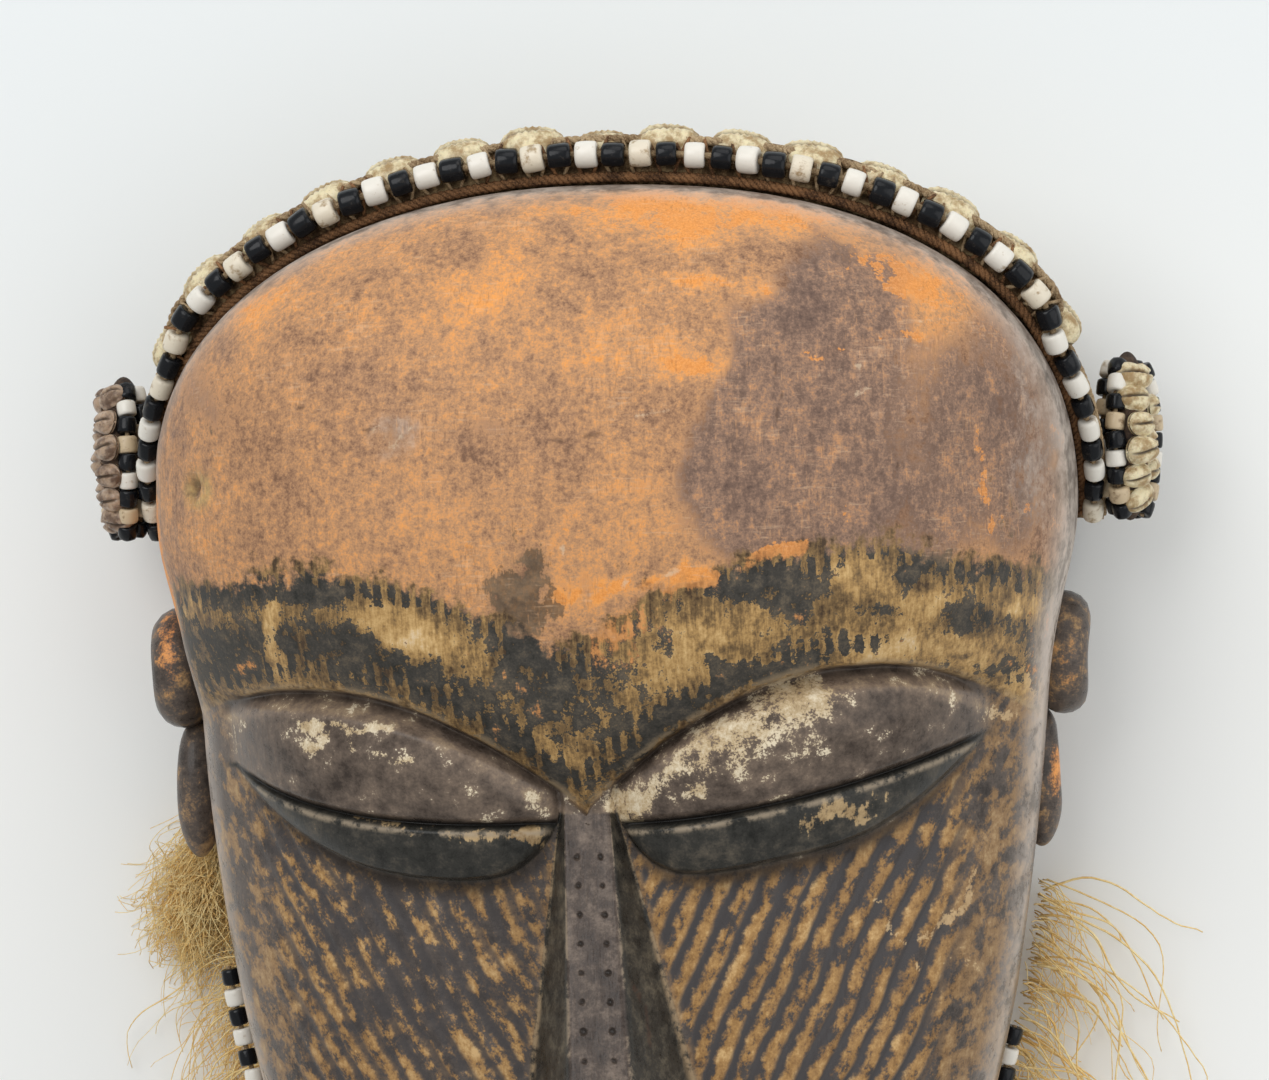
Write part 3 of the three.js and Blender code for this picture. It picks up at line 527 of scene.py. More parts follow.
class Shader:
    """A material whose node tree is written as expressions. Sizes are in millimetres."""

    def __init__(self, name):
        self.material = bpy.data.materials.new(name)
        self.material.use_nodes = True
        self.tree = self.material.node_tree
        self.surface = self.tree.nodes["Principled BSDF"]
        self.places = Wire(self, self.node("TexCoord").outputs["Object"])

    def node(self, kind, **settings):
        made = self.tree.nodes.new("ShaderNode" + kind)
        for name, value in settings.items():
            setattr(made, name, value)
        return made

    def put(self, value, socket):
        if isinstance(value, Wire):
            self.tree.links.new(value.socket, socket)
        elif isinstance(value, (tuple, list)) and len(value) == 3 and socket.type == "RGBA":
            socket.default_value = (*value, 1)
        else:
            socket.default_value = value

    def math(self, operation, *values):
        made = self.node("Math", operation=operation)
        for value, socket in zip(values, made.inputs):
            self.put(value, socket)
        return Wire(self, made.outputs[0])

    def step(self, value, low, high, start=0.0, end=1.0):
        """Goes smoothly from start to end as value goes from low to high."""
        made = self.node("MapRange", interpolation_type="SMOOTHSTEP")
        for item, name in ((value, "Value"), (low, "From Min"), (high, "From Max"),
                           (start, "To Min"), (end, "To Max")):
            self.put(item, made.inputs[name])
        return Wire(self, made.outputs[0])

    def mix(self, factor, first, second):
        """Goes from the first colour to the second as factor goes from 0 to 1."""
        made = self.node("Mix", data_type="RGBA")
        self.put(factor, made.inputs["Factor"])
        self.put(first, made.inputs[MIX_FIRST_COLOUR])
        self.put(second, made.inputs[MIX_SECOND_COLOUR])
        return Wire(self, made.outputs[MIX_COLOUR])

    def ramp(self, value, *stops):
        """Colours that run on smoothly as value grows; each stop is a value and its colour."""
        made = self.node("ValToRGB")
        stock = made.color_ramp.elements
        while len(stock) < len(stops):
            stock.new(0.5)
        for element, (place, colour) in zip(stock, stops):
            element.position = place
            element.color = (*colour, 1)
        self.put(value, made.inputs[0])
        return Wire(self, made.outputs[0])

    def value_of(self, name):
        made = self.node("Attribute", attribute_type="GEOMETRY", attribute_name=name)
        return Wire(self, made.outputs["Fac"])

    def stretched(self, x, y, z):
        made = self.node("Mapping", vector_type="TEXTURE")
        self.put(self.places, made.inputs["Vector"])
        made.inputs["Scale"].default_value = (x, y, z)
        return Wire(self, made.outputs[0])

    def noise(self, size, detail=3.0, rough=0.55, places=None):
        """Noise around 0.5 whose lumps are about size across."""
        made = self.node("TexNoise")
        self.put(places or self.places, made.inputs["Vector"])
        made.inputs["Scale"].default_value = 1000 / size
        made.inputs["Detail"].default_value = detail
        made.inputs["Roughness"].default_value = rough
        return Wire(self, made.outputs["Fac"])

    def bump(self, height, depth, before=None, strength=1.0):
        """Bumps of a depth in millimetres, on top of any before them."""
        made = self.node("Bump")
        made.inputs["Strength"].default_value = strength
        made.inputs["Distance"].default_value = depth * 0.001
        self.put(height, made.inputs["Height"])
        if before:
            self.put(before, made.inputs["Normal"])
        return Wire(self, made.outputs[0])

    def finish(self, **sockets):
        for name, value in sockets.items():
            self.put(value, self.surface.inputs[name.replace("_", " ")])
        return self


# Materials

class Wood(Shader):
    """Old carved wood, with the noises that its layers share and the values that its mesh carries."""

    def __init__(self):
        super().__init__("carved_wood")
        self.around_zero = {
            "grain": self.layer(0.8, 2, 0.62, 0.84, self.stretched(1, 9, 3)),
            "scraped": self.layer(2.2, 3, 0.68, 0.87, self.stretched(1, 4, 2)),
            "patches": self.layer(17, 4, 0.66, 0.9),
            "blotches": self.layer(38, 2, 0.6, 0.81),
            "flecks": self.layer(5, 4, 0.74, 0.83),
            "grit": self.layer(1.5, 2, 0.7, 0.86),
            "specks": self.layer(0.5, 2, 0.75, 0.76),
        }
        for name, wire in self.around_zero.items():
            setattr(self, name, wire + 0.5)

    def __getattr__(self, name):
        """A value that the mesh carries, read once and then kept."""
        wire = self.value_of(name)
        setattr(self, name, wire)
        return wire

    def layer(self, size, detail, rough, contrast, places=None):
        """Noise around 0, with its contrast scaled."""
        return (self.noise(size, detail, rough, places) - 0.5) * contrast

    def mottle(self, patches=0.0, flecks=0.0, specks=0.0, scraped=0.0, grain=0.0, grit=0.0, blotches=0.0,
               base=0.0):
        """Noise around base, with so much of each size."""
        total = base
        for name, share in (("patches", patches), ("flecks", flecks), ("specks", specks),
                            ("scraped", scraped), ("grain", grain), ("grit", grit), ("blotches", blotches)):
            if share:
                total = self.math("MULTIPLY_ADD", self.around_zero[name], share, total)
        return total

    def tones(self, noise, dark, light, low=0.36, high=0.64):
        return self.mix(self.step(noise, low, high), dark, light)

    def near(self, value, place, reach):
        """1 where value is at place, falling to 0 a reach away."""
        return self.step(self.math("ABSOLUTE", value - place), reach, 0.0)


def forehead_paint(s):
    """Ochre and orange paint, rubbed through to purple-brown, with soot, dust, a painted sheen at the side
    edges and fine scratches.
    """
    level = s.mottle(1.0, 0.6, 0.9, 0.5, grit=1.1, blotches=0.5, base=s.orange * 0.55 + 0.42)
    paint = s.ramp(level, (0.1, (0.2, 0.105, 0.062)), (0.34, (0.37, 0.2, 0.108)), (0.52, (0.51, 0.27, 0.13)),
                   (0.7, (0.68, 0.32, 0.122)), (0.95, (0.87, 0.36, 0.09)))
    dusk = s.step(s.mottle(1.7, 0.9, 0.5, 0.8, grit=0.8, blotches=0.9, base=s.purple), 0.44, 0.76)
    rubbed = s.ramp(s.mottle(0.8, 0.7, 0.9, 0.9, grit=0.9, base=0.5), (0.12, (0.11, 0.07, 0.056)),
                    (0.4, (0.185, 0.117, 0.088)), (0.6, (0.29, 0.18, 0.125)), (0.9, (0.56, 0.28, 0.13)))
    paint = s.mix(dusk * 0.92, paint, rubbed)
    # Grey patches: dust, and on the forehead's side edges a painted sheen
    dust_and_sheen = s.step(s.mottle(0.9, 1.1, 0.5, grit=0.6, base=s.grey), 0.3, 0.8)
    paint = s.mix(dust_and_sheen * 0.75, paint, s.tones(s.flecks, (0.17, 0.13, 0.105), (0.44, 0.35, 0.29)))
    soot = s.step(s.mottle(1.1, 1.5, 0.4, 1.3, grit=0.6, base=s.dark), 0.44, 0.66)
    paint = s.mix(soot * 0.8, paint, s.tones(s.flecks, (0.045, 0.04, 0.03), (0.14, 0.11, 0.075)))
    flakes = s.step(s.mottle(0.6, 2.6, 0.3, base=s.orange), 0.62, 0.7)
    paint = s.mix(flakes * 0.75, paint, s.tones(s.specks, (0.7, 0.25, 0.05), (0.85, 0.36, 0.1)))
    paint = s.mix(s.knot, paint, s.tones(s.flecks, (0.2, 0.125, 0.05), (0.55, 0.4, 0.16)))
    paint = s.mix(s.pit, paint, (0.03, 0.022, 0.018))
    veil = s.mottle(0.7, 0.4)
    for stretch, tint in (((9, 1, 4), (0.74, 0.5, 0.32)), ((1, 8, 4), (0.82, 0.42, 0.18)),
                          ((1, 7, 3), (0.12, 0.07, 0.05))):
        streaks = s.layer(0.6, 2, 0.66, 0.81, s.stretched(*stretch)) + veil
        paint = s.mix(s.step(streaks, 0.1, 0.24, 0.0, 0.27), paint, tint)
    return paint


def brow_paint(s):
    """Bare wood scraped upright, with what is left of two black bands and their ticks."""
    level = s.mottle(0.5, 1.7, 0.3, 0.4, 0.8) + s.gold_brow * 0.3 + 0.38
    bare = s.ramp(level, (0.1, (0.07, 0.043, 0.024)), (0.32, (0.21, 0.13, 0.056)), (0.52, (0.44, 0.265, 0.1)),
                  (0.75, (0.64, 0.42, 0.18)), (1.0, (0.76, 0.58, 0.36)))
    ticks = s.step(s.math("PINGPONG", s.out / 1.5 + (s.flecks - 0.5) * 1.4, 1.0), 0.3, 0.6)
    tick_rows = s.near(s.from_brow + (s.patches - 0.5) * 6, 22.5, 5.0) + s.near(s.from_brow, 5.0, 5.0)
    tone = s.mottle(1.2, 3.2, 0.9, 1.3) + s.sooty_brow * 0.56 - s.gold_brow * 0.52 + ticks * tick_rows * 0.36
    black = s.step(tone, 0.16, 0.34)
    soot = s.ramp(s.mottle(0.5, 1.6, 0.5) + 0.5, (0.25, (0.016, 0.017, 0.015)), (0.55, (0.058, 0.052, 0.044)),
                  (0.85, (0.16, 0.125, 0.085)))
    colour = s.mix(black, bare, soot)
    rust = s.step(s.orange_brow + s.mottle(1.4, 1.8, 0.4, 1.2), 0.34, 0.58)
    return s.mix(rust * 0.9, colour,
                 s.tones(s.grain * 0.4 + s.flecks * 0.6, (0.36, 0.15, 0.05), (0.76, 0.34, 0.11)))


def lid_paint(s):
    """Dark brown lids with crusts of cream, a worn ridge and a black lower lid."""
    ridge = s.near(s.from_brow, -3.8, 3.0)
    level = s.mottle(1.1, 1.4, 0.3) + ridge * 0.24 + s.cream * 0.12 + 0.42
    lid = s.ramp(level, (0.15, (0.045, 0.033, 0.026)), (0.42, (0.12, 0.09, 0.07)),
                 (0.62, (0.21, 0.155, 0.115)), (0.9, (0.42, 0.31, 0.2)))
    crust = s.step(s.cream * 0.85 + s.mottle(1.7, 3.4, 1.5), 0.42, 0.64)
    lid = s.mix(crust * 0.92, lid, s.ramp(s.mottle(0, 2.0, 0.8) + 0.5, (0.2, (0.32, 0.21, 0.1)),
                                          (0.5, (0.58, 0.44, 0.26)), (0.8, (0.82, 0.71, 0.52))))
    # Painted shade: a dark band in the channel just under the brow's edge
    lid = s.mix(s.near(s.from_brow, -1.0, 1.6) * 0.35, lid, (0.035, 0.026, 0.02))
    low = s.ramp(s.mottle(0.8, 1.4, 0.4) + 0.5, (0.2, (0.014, 0.014, 0.012)), (0.5, (0.038, 0.036, 0.031)),
                 (0.85, (0.12, 0.1, 0.075)))
    scraped = s.step(s.tan + s.mottle(0.9, 2.0, 0, 0, 0.8), 0.44, 0.6)
    low = s.mix(scraped, low, s.tones(s.flecks, (0.2, 0.125, 0.055), (0.48, 0.34, 0.18)))
    worn_rim = s.near(s.below_slit, 1.9, 1.1) * s.step(s.flecks, 0.42, 0.56)
    low = s.mix(worn_rim * 0.75, low, (0.34, 0.27, 0.19))
    return s.mix(s.lower_lid, lid, low)


def cheek_paint(s):
    """Cheeks cut with slanting grooves: dark in the cuts, rubbed to tan in strips on the ridges."""
    place = s.node("CombineXYZ")
    s.put(s.groove * 1.3 + 40.0, place.inputs[0])
    s.put(s.groove_along / 9.0, place.inputs[1])
    strips = s.node("TexNoise")
    s.tree.links.new(place.outputs[0], strips.inputs["Vector"])
    strips.inputs["Scale"].default_value = 1.0
    strips.inputs["Detail"].default_value = 4
    strips.inputs["Roughness"].default_value = 0.7
    strips = (Wire(s, strips.outputs["Fac"]) - 0.5) * 0.87 + 0.5
    ridge = s.step(s.math("PINGPONG", s.groove + s.mottle(0.7, 0.5), 0.5) + s.mottle(0, 0.5), 0.1, 0.36)
    rubbed = s.step((strips - 0.5) * 3.2 + s.mottle(1.2, 2.4, 0.8) + s.worn, 0.3, 0.66)
    stain = s.ramp(s.mottle(1.1, 1.5, 0.5) + 0.5, (0.15, (0.04, 0.033, 0.029)), (0.5, (0.105, 0.083, 0.069)),
                   (0.85, (0.2, 0.16, 0.135)))
    tan = s.ramp((strips - 0.5) * 1.2 + s.mottle(0.6, 1.8, 0.4, 0, 0.4) + 0.5, (0.12, (0.11, 0.06, 0.03)),
                 (0.42, (0.26, 0.14, 0.052)), (0.66, (0.42, 0.24, 0.09)), (0.92, (0.64, 0.42, 0.19)))
    cut = s.mix(ridge * rubbed, s.mix(ridge * 0.5, (0.062, 0.056, 0.056), stain), tan)
    colour = s.mix(s.grooved, s.mix(rubbed * 0.6, stain, tan), cut)
    scratch = s.step(s.cream + s.mottle(0.8, 2.0, 0.5), 0.45, 0.58)
    colour = s.mix(scratch * 0.85, colour, s.tones(s.flecks, (0.4, 0.25, 0.12), (0.62, 0.44, 0.24)))
    # Painted shadow: a dark band on the cheek just under the lower lid
    return s.mix(s.under_lid * 0.85, colour, (0.022, 0.015, 0.01))


def nose_paint(s):
    """A dull purple-brown band with worn edges between dark flanks."""
    band = s.ramp(s.mottle(0.8, 1.6, 0.5, 0.6) + 0.5, (0.15, (0.03, 0.023, 0.02)),
                  (0.5, (0.082, 0.062, 0.051)), (0.85, (0.22, 0.17, 0.135)))
    flank = s.ramp(s.mottle(0.7, 1.6, 0.4) + 0.5, (0.2, (0.013, 0.012, 0.01)), (0.5, (0.042, 0.037, 0.03)),
                   (0.85, (0.14, 0.115, 0.08)))
    colour = s.mix(s.step(s.nose_side, -0.04, 0.05), band, flank)
    rubbed = s.step(s.mottle(1.0, 1.5), -0.03, 0.12)
    colour = s.mix(s.near(s.nose_side, 0.0, 0.08) * rubbed * 0.6, colour, (0.34, 0.26, 0.18))
    return s.mix(s.near(s.nose_side, 0.97, 0.14) * s.step(s.flecks, 0.42, 0.56) * 0.8, colour,
                 (0.36, 0.25, 0.14))


def punched_dots(s):
    """Two rows of dots down the nose's band."""
    across_band = s.math("ABSOLUTE", s.nose_out) - s.dot_offset
    along_band = (s.math("FRACT", s.nose_along) - 0.5) * DOT_PITCH
    apart = s.math("SQRT", across_band * across_band + along_band * along_band) + s.mottle(0, 1.2)
    return s.step(apart, 0.85, 0.1) * s.step(s.nose_side, 0.0, -0.05) * s.step(s.nose_along, 1.0, 1.2)


def painted_wood():
    s = Wood()
    in_brows = s.step(s.from_brow + s.mottle(20, 18, 0, 6), 27, 23.5)
    colour = s.mix(in_brows, forehead_paint(s), brow_paint(s))
    below = s.mix(s.cheeks, lid_paint(s), cheek_paint(s))
    on_nose = s.step(s.nose_side, 1.06, 0.98) * s.step(s.nose_along, -0.1, 0.05)
    below = s.mix(on_nose, below, nose_paint(s))
    # Painted shade: the eye slits are darkened almost to black
    slit = s.near(s.below_slit, 0.0, 1.15) * s.step(s.out, 86, 80) * s.step(s.out, 5, 8)
    below = s.mix(slit, below, (0.008, 0.007, 0.006))
    # The brow's rim is lighter: wear, with a painted highlight along the edge
    rim_wear_and_highlight = s.near(s.from_brow, 0.6, 1.5) * s.step(s.mottle(1.4, 1.8), -0.12, 0.08)
    colour = s.mix(rim_wear_and_highlight * 0.55, colour, (0.4, 0.29, 0.17))
    colour = s.mix(s.step(s.from_brow, 0.5, -0.4), colour, below)

    # A painted sheen on the sides near the outline and along the hairline's lip, and the plain back
    # Painted sheen: the wood near the outline is lightened to grey, most by the right temple
    sheen = s.step(s.from_edge + s.mottle(4, 6), 7.0, 0.6)
    handled = s.tones(s.patches * 0.5 + s.flecks * 0.5, (0.22, 0.18, 0.145), (0.66, 0.57, 0.5), 0.38, 0.56)
    walls = s.tones(s.patches * 0.5 + s.flecks * 0.5, (0.085, 0.06, 0.045), (0.27, 0.19, 0.13), 0.38, 0.62)
    # Painted sheen: the walls by the right temple are lightened
    walls = s.mix(s.step(s.handled, 0.65, 1.0) * s.step(s.flecks, 0.38, 0.54), walls, (0.5, 0.43, 0.37))
    handled = s.mix(s.step(s.from_edge, 0.3, 1.3), walls, handled)
    colour = s.mix(sheen * s.handled, colour, handled)
    # Painted sheen: a grey band along the lip at the hairline
    lip = s.step(s.from_edge + s.mottle(0, 3), 2.8, 1.6) * s.lip
    colour = s.mix(lip * 0.8, colour, s.tones(s.flecks, (0.13, 0.105, 0.088), (0.42, 0.36, 0.31)))
    glow = s.step(s.edge_orange + s.mottle(0.6, 1.4, 0.6), 0.28, 0.62)
    colour = s.mix(glow, colour, s.tones(s.flecks, (0.6, 0.22, 0.06), (0.86, 0.37, 0.11)))
    back = s.tones(s.grain, (0.1, 0.06, 0.034), (0.25, 0.155, 0.09))
    colour = s.mix(s.inside, colour, back)

    dots = punched_dots(s)
    # Painted shade: the punched dots are darkened as dark pits
    colour = s.mix(dots * 0.85, colour, (0.016, 0.013, 0.011))
    for name, tint in (("cracks", (0.06, 0.032, 0.022)), ("scratches", (0.66, 0.5, 0.34))):
        line = s.step(s.value_of(name) + s.mottle(0, 2.4, 0.6), 0.5, 0.95)
        colour = s.mix(line * 0.6, colour, tint)

    normal = s.bump(s.grain, 0.14, strength=0.5)
    normal = s.bump(s.scraped, 0.3, normal, 0.4)
    normal = s.bump(dots, -0.6, normal)
    normal = s.bump(s.flecks, 0.32, normal, 0.4)
    shine = s.step(s.from_brow, 1, -1, 0.55, 0.34) + s.mottle(0.4, 0.8)
    s.finish(Base_Color=colour, Roughness=shine, Normal=normal, Specular_IOR_Level=0.2)
    return s


def glass(name, pale, stained, stain_size, amount, roughness, shine=0.4):
    s = Shader(name)
    flecks = s.noise(stain_size, 4, 0.65)
    colour = s.mix(s.step(flecks, 0.62 - amount, 0.8 - amount), pale, stained)
    gloss = s.step(flecks, 0.3, 0.8, roughness, roughness + 0.2)
    s.finish(Base_Color=colour, Roughness=gloss, Normal=s.bump(s.noise(0.7), 0.12, strength=0.35),
             Specular_IOR_Level=shine, Coat_Weight=0.5 * shine, Coat_Roughness=0.1)
    return s


def fibre(name, dark, light, size=0.35):
    """Raffia, twisted or loose."""
    s = Shader(name)
    strands = s.noise(size, 3, 0.6)
    tone = s.noise(6, 4, 0.6)
    colour = s.mix(s.step(strands * 0.5 + tone * 0.5, 0.36, 0.62), dark, light)
    s.finish(Base_Color=colour, Roughness=0.85, Normal=s.bump(strands, 0.25, strength=0.7),
             Specular_IOR_Level=0.25)
    return s


def cloth(name):
    """Raffia cloth: a plain weave, darkened by handling."""
    s = Shader(name)
    along, over = s.value_of("along"), s.value_of("over")
    wobble = (s.noise(3) - 0.5) * 0.5
    warp = s.math("PINGPONG", along / 1.3 + wobble, 1.0)
    weft = s.math("PINGPONG", over / 1.3 + wobble, 1.0)
    weave = s.math("MAXIMUM", s.step(warp, 0.2, 0.9), s.step(weft, 0.2, 0.9))
    tone = s.noise(9, 5, 0.62)
    strands = s.noise(0.35, 3, 0.6)
    colour = s.mix(s.step(tone + (strands - 0.5) * 0.6, 0.35, 0.66),
                   (0.135, 0.075, 0.035), (0.42, 0.29, 0.15))
    colour = s.mix((1.0 - weave) * 0.7, colour, (0.05, 0.028, 0.015))
    bumps = s.bump(weave, 0.5, strength=0.8)
    bumps = s.bump(strands, 0.15, bumps, 0.6)
    s.finish(Base_Color=colour, Roughness=0.9, Normal=bumps, Specular_IOR_Level=0.2)
    return s


def shell_material(name, dark, light):
    s = Shader(name)
    tone = s.noise(3, 5, 0.65)
    fine = s.noise(0.6, 3, 0.6)
    colour = s.mix(s.step(tone, 0.36, 0.62), dark, light)
    colour = s.mix(s.step(fine, 0.58, 0.72) * 0.5, colour, (0.2, 0.13, 0.06))
    # Painted shade: the slit is darkened where the shell's opening would be hollow
    colour = s.mix(s.value_of("slit"), colour, (0.06, 0.035, 0.018))
    s.finish(Base_Color=colour, Roughness=s.step(tone, 0.3, 0.7, 0.5, 0.3),
             Normal=s.bump(fine, 0.12, strength=0.5),
             Subsurface_Weight=0.1, Subsurface_Radius=(0.002, 0.001, 0.0005))
    return s


WOOD = painted_wood()
WHITE_GLASS = glass("white_bead", (0.8, 0.76, 0.68), (0.42, 0.32, 0.2), 2.4, 0.02, 0.28)
STAINED_GLASS = glass("stained_bead", (0.76, 0.68, 0.54), (0.36, 0.25, 0.13), 2.6, 0.12, 0.3)
CREAM_GLASS = glass("cream_bead", (0.6, 0.47, 0.3), (0.22, 0.13, 0.065), 2.2, 0.1, 0.35)
BLACK_GLASS = glass("black_bead", (0.006, 0.007, 0.009), (0.05, 0.042, 0.035), 3.0, 0.03, 0.12, 0.2)
BINDING = fibre("twisted_raffia", (0.05, 0.024, 0.012), (0.3, 0.15, 0.065))
THREAD = fibre("raffia_thread", (0.16, 0.095, 0.045), (0.5, 0.37, 0.22))
CLOTH = cloth("raffia_cloth")
SHELL = shell_material("cowrie_shell", (0.36, 0.235, 0.1), (0.78, 0.68, 0.44))
SMOKED_SHELL = shell_material("smoked_cowrie_shell", (0.13, 0.075, 0.045), (0.44, 0.31, 0.21))
RAFFIA = fibre("loose_raffia", (0.82, 0.52, 0.17), (0.98, 0.8, 0.42), 1.4)
PAD = fibre("lobe_pad", (0.03, 0.02, 0.016), (0.11, 0.07, 0.045), 0.6)


# Wood

def blobs(x, y, places):
    """Soft patches: each is its middle, its half sizes, its turn in degrees and its strength."""
    total = np.zeros_like(x)
    for middle_x, middle_y, wide, high, turn, strength in places:
        c, s = math.cos(math.radians(turn)), math.sin(math.radians(turn))
        u = ((x - middle_x) * c + (y - middle_y) * s) / wide
        v = ((y - middle_y) * c - (x - middle_x) * s) / high
        total = total + strength * np.exp(-((u * u + v * v) ** 1.4))
    return total


# Places of the paint, each a soft patch: middle x and y, half sizes, turn in degrees, strength
ORANGE_PATCHES = [
    (22, 70, 42, 6.5, -4, 0.8), (-24, 52, 17, 10, 20, 0.3), (-2, 44, 22, 14, 10, 0.22),
    (-66, 48, 14, 8, 40, 0.25), (62, 57, 10, 5, -30, 0.6), (72, 50, 9, 13, 25, 0.45),
    (23, 37.5, 9, 5, -8, 0.85), (-45, 10, 24, 14, 0, 0.22), (29, 51, 8, 2, -10, 0.6),
    (8, 2, 19, 12, 0, 0.26), (12, 20, 12, 9, 0, 0.1), (-30, -2, 26, 10, 0, 0.14),
    (40, -3, 8, 2.6, 15, 0.75), (83, 8, 3, 15, 0, 0.32), (-71, 50, 5, 4, 30, 0.4),
    (-50, 62, 20, 6, 25, 0.2),
]
ORANGE_LINES = [
    (((-5, -12.2), (12, -10), (28, -6.5)), 1.3, 0.95), (((33.6, -4.2), (46.2, -1.5)), 1.7, 0.9),
    (((82.5, 20.7), (82.9, 2.6)), 1.5, 0.4), (((99, 17), (98.4, 14)), 1.2, 0.7),
    (((92.8, 7), (92.4, 4)), 1.2, 0.7), (((44, 37), (70, 42)), 1.2, 0.55),
    (((-6, 35), (10, 37)), 1.0, 0.5), (((55, 9), (56, 3)), 1.6, 0.6),
]
PURPLE_PATCHES = [
    (52, 50, 15, 20, -40, 0.85), (43, 29, 14, 26, -22, 0.85), (62, 22, 26, 22, 0, 0.62),
    (40, 5, 16, 16, 0, 0.85), (88, 20, 14, 30, 0, 0.75), (62, 0, 14, 14, 0, 0.5),
    (-15, 22, 22, 4, -8, 0.35), (-75, 27, 10, 7, 0, 0.42), (-61, 45, 6, 5, 0, 0.35),
    (-52, 24, 14, 3, -20, 0.35), (-32, 44, 8, 5, 0, 0.3), (-88, 36, 8, 12, 0, 0.4),
    (0, 3, 34, 13, 0, 0.26), (-30, 12, 24, 14, 10, 0.2),
]
DARK_PATCHES = [
    (-11, -8, 10, 8, 60, 0.95), (13, -6, 7, 4, 0, 0.4), (39, -10, 13, 6, 0, 0.7), (-76, 24, 9, 5, 0, 0.3),
    (-18, 4, 6, 5, 0, 0.3), (70, -6, 12, 5, 0, 0.5), (90, 0, 8, 20, 0, 0.3), (-55, 5, 3, 5, 0, 0.25),
]
# Grey patches of dust; the two on the forehead's side edges are a painted sheen
DUST_AND_SHEEN_PATCHES = [
    (-38, 21, 7, 5, 10, 0.6), (98, 20, 9, 34, 0, 0.65), (-98, 30, 6, 26, 0, 0.3),
    (-50, 74, 30, 4, 12, 0.5), (62, 30, 18, 16, 0, 0.28), (-60, 40, 20, 10, 0, 0.22),
    (-20, 66, 16, 4, 0, 0.3), (60, 70, 26, 4, -14, 0.4),
]
CREAM_PATCHES = [
    (45, -35, 9, 3.4, 10, 0.4), (22, -53.5, 2.5, 3, 0, 0.5), (65, -41, 5, 1.6, 5, 0.5),
    (63, -47.4, 2.4, 3, 0, 0.45), (85, -39, 5, 2.6, -20, 0.5), (48, -44, 6, 3, 0, 0.25),
    (-12, -55, 4, 3, -60, 0.45), (-60, -38, 16, 5, 0, 0.16), (75.4, -93.8, 5, 6, 0, 0.32),
    (5.5, -58, 4, 2.5, 60, 0.4), (30, -120, 6, 3, 60, 0.3),
]
CREAM_LINES = [
    (((6.3, -56.7), (18.3, -48), (33.3, -38), (44, -34)), 6.0, 0.68),
    (((-63, -37.5), (-50, -37.8), (-42, -39.5)), 1.0, 0.8), (((-62, -42.5), (-57, -40)), 1.4, 0.7),
    (((-53, -39), (-52, -43)), 1.1, 0.7), (((-46, -43.5), (-38, -44.5)), 1.3, 0.6),
    (((58.3, -78.1), (65.3, -87.9), (68, -94)), 1.1, 0.6),
    (((65.3, -87.9), (76.7, -80), (79, -74)), 1.7, 0.62),
]
TAN_PATCHES = [(50, -58.5, 12, 3, 12, 0.55), (-14, -63, 6, 3, 0, 0.3)]
TAN_LINES = [(((-70, -49), (-56, -55.5), (-40, -60), (-14, -62.5)), 1.9, 0.5)]
WORN_PATCHES = [
    (40, -85, 30, 26, 0, 0.1), (66, -90, 12, 26, 0, 0.1), (30, -120, 30, 20, 0, 0.1),
    (-45, -84, 20, 16, 0, -0.12), (-20, -82, 10, 16, 0, 0.14), (-62, -110, 16, 20, -30, 0.26),
    (-60, -76, 10, 12, 0, 0.1), (0, -190, 60, 20, 0, 0.1), (34, -75, 14, 8, 0, -0.12),
    (82, -70, 7, 20, 0, -0.1),
]
BROW_ORANGE_PATCHES = [
    (8, -14, 14, 8, 0, 0.42), (5, -22, 6, 6, 0, 0.25), (24, -9, 10, 3, 8, 0.35), (-34, -7, 14, 4, 0, 0.3),
    (-25, -22, 5, 2, -30, 0.25), (95, -14, 4, 14, 0, 0.25),
]
BROW_GOLD_PATCHES = [
    (-67, -17, 2.2, 10, 0, 0.9), (-37, -17, 12, 4, -26, 1.0), (-90, -13, 4, 2.6, 0, 0.7),
    (57.7, -8, 7, 4, 0, 0.9), (70, -15, 6, 3, 0, 0.7), (59, -23, 10, 4.5, 8, 0.9),
    (89, -16, 4, 2.6, 0, 0.9), (24, -23, 16, 7, 25, 0.5), (76, -25, 12, 3, -12, 0.9),
    (40, -26.5, 8, 2.2, 20, 0.5), (-24, -33, 14, 3, -32, 0.4), (2, -40, 9, 9, 0, 0.25),
    (90, -33, 4, 4, -40, 0.6), (-6, -44, 8, 2, -40, 0.5),
]
BROW_SOOT_PATCHES = [
    (66.6, -8.8, 4, 2.2, 0, 1.0), (62.6, -16, 5, 1.7, 0, 0.9), (80, -18.5, 10, 3.2, -6, 1.0),
    (87.4, -29, 2.6, 2.6, 0, 0.8), (17.4, -22, 4, 2, 20, 0.9), (26, -26.5, 3.4, 1.8, 15, 0.9),
    (37, -10, 11, 6, 0, 0.95), (-12.5, -20, 6, 9, -30, 0.95), (-80, -26, 16, 4, 5, 0.6),
    (-10, -36, 6, 8, -30, 0.5), (50, -14, 7, 4, 0, 0.35), (82, -7, 12, 2, 0, 0.5),
    (0, -42, 9, 10, 0, 0.6), (-3, -28, 12, 8, -10, 0.55), (-50, -25, 20, 5, -12, 0.4),
    (12, -33, 8, 8, 30, 0.3), (95, -26, 5, 8, 0, 0.4),
]
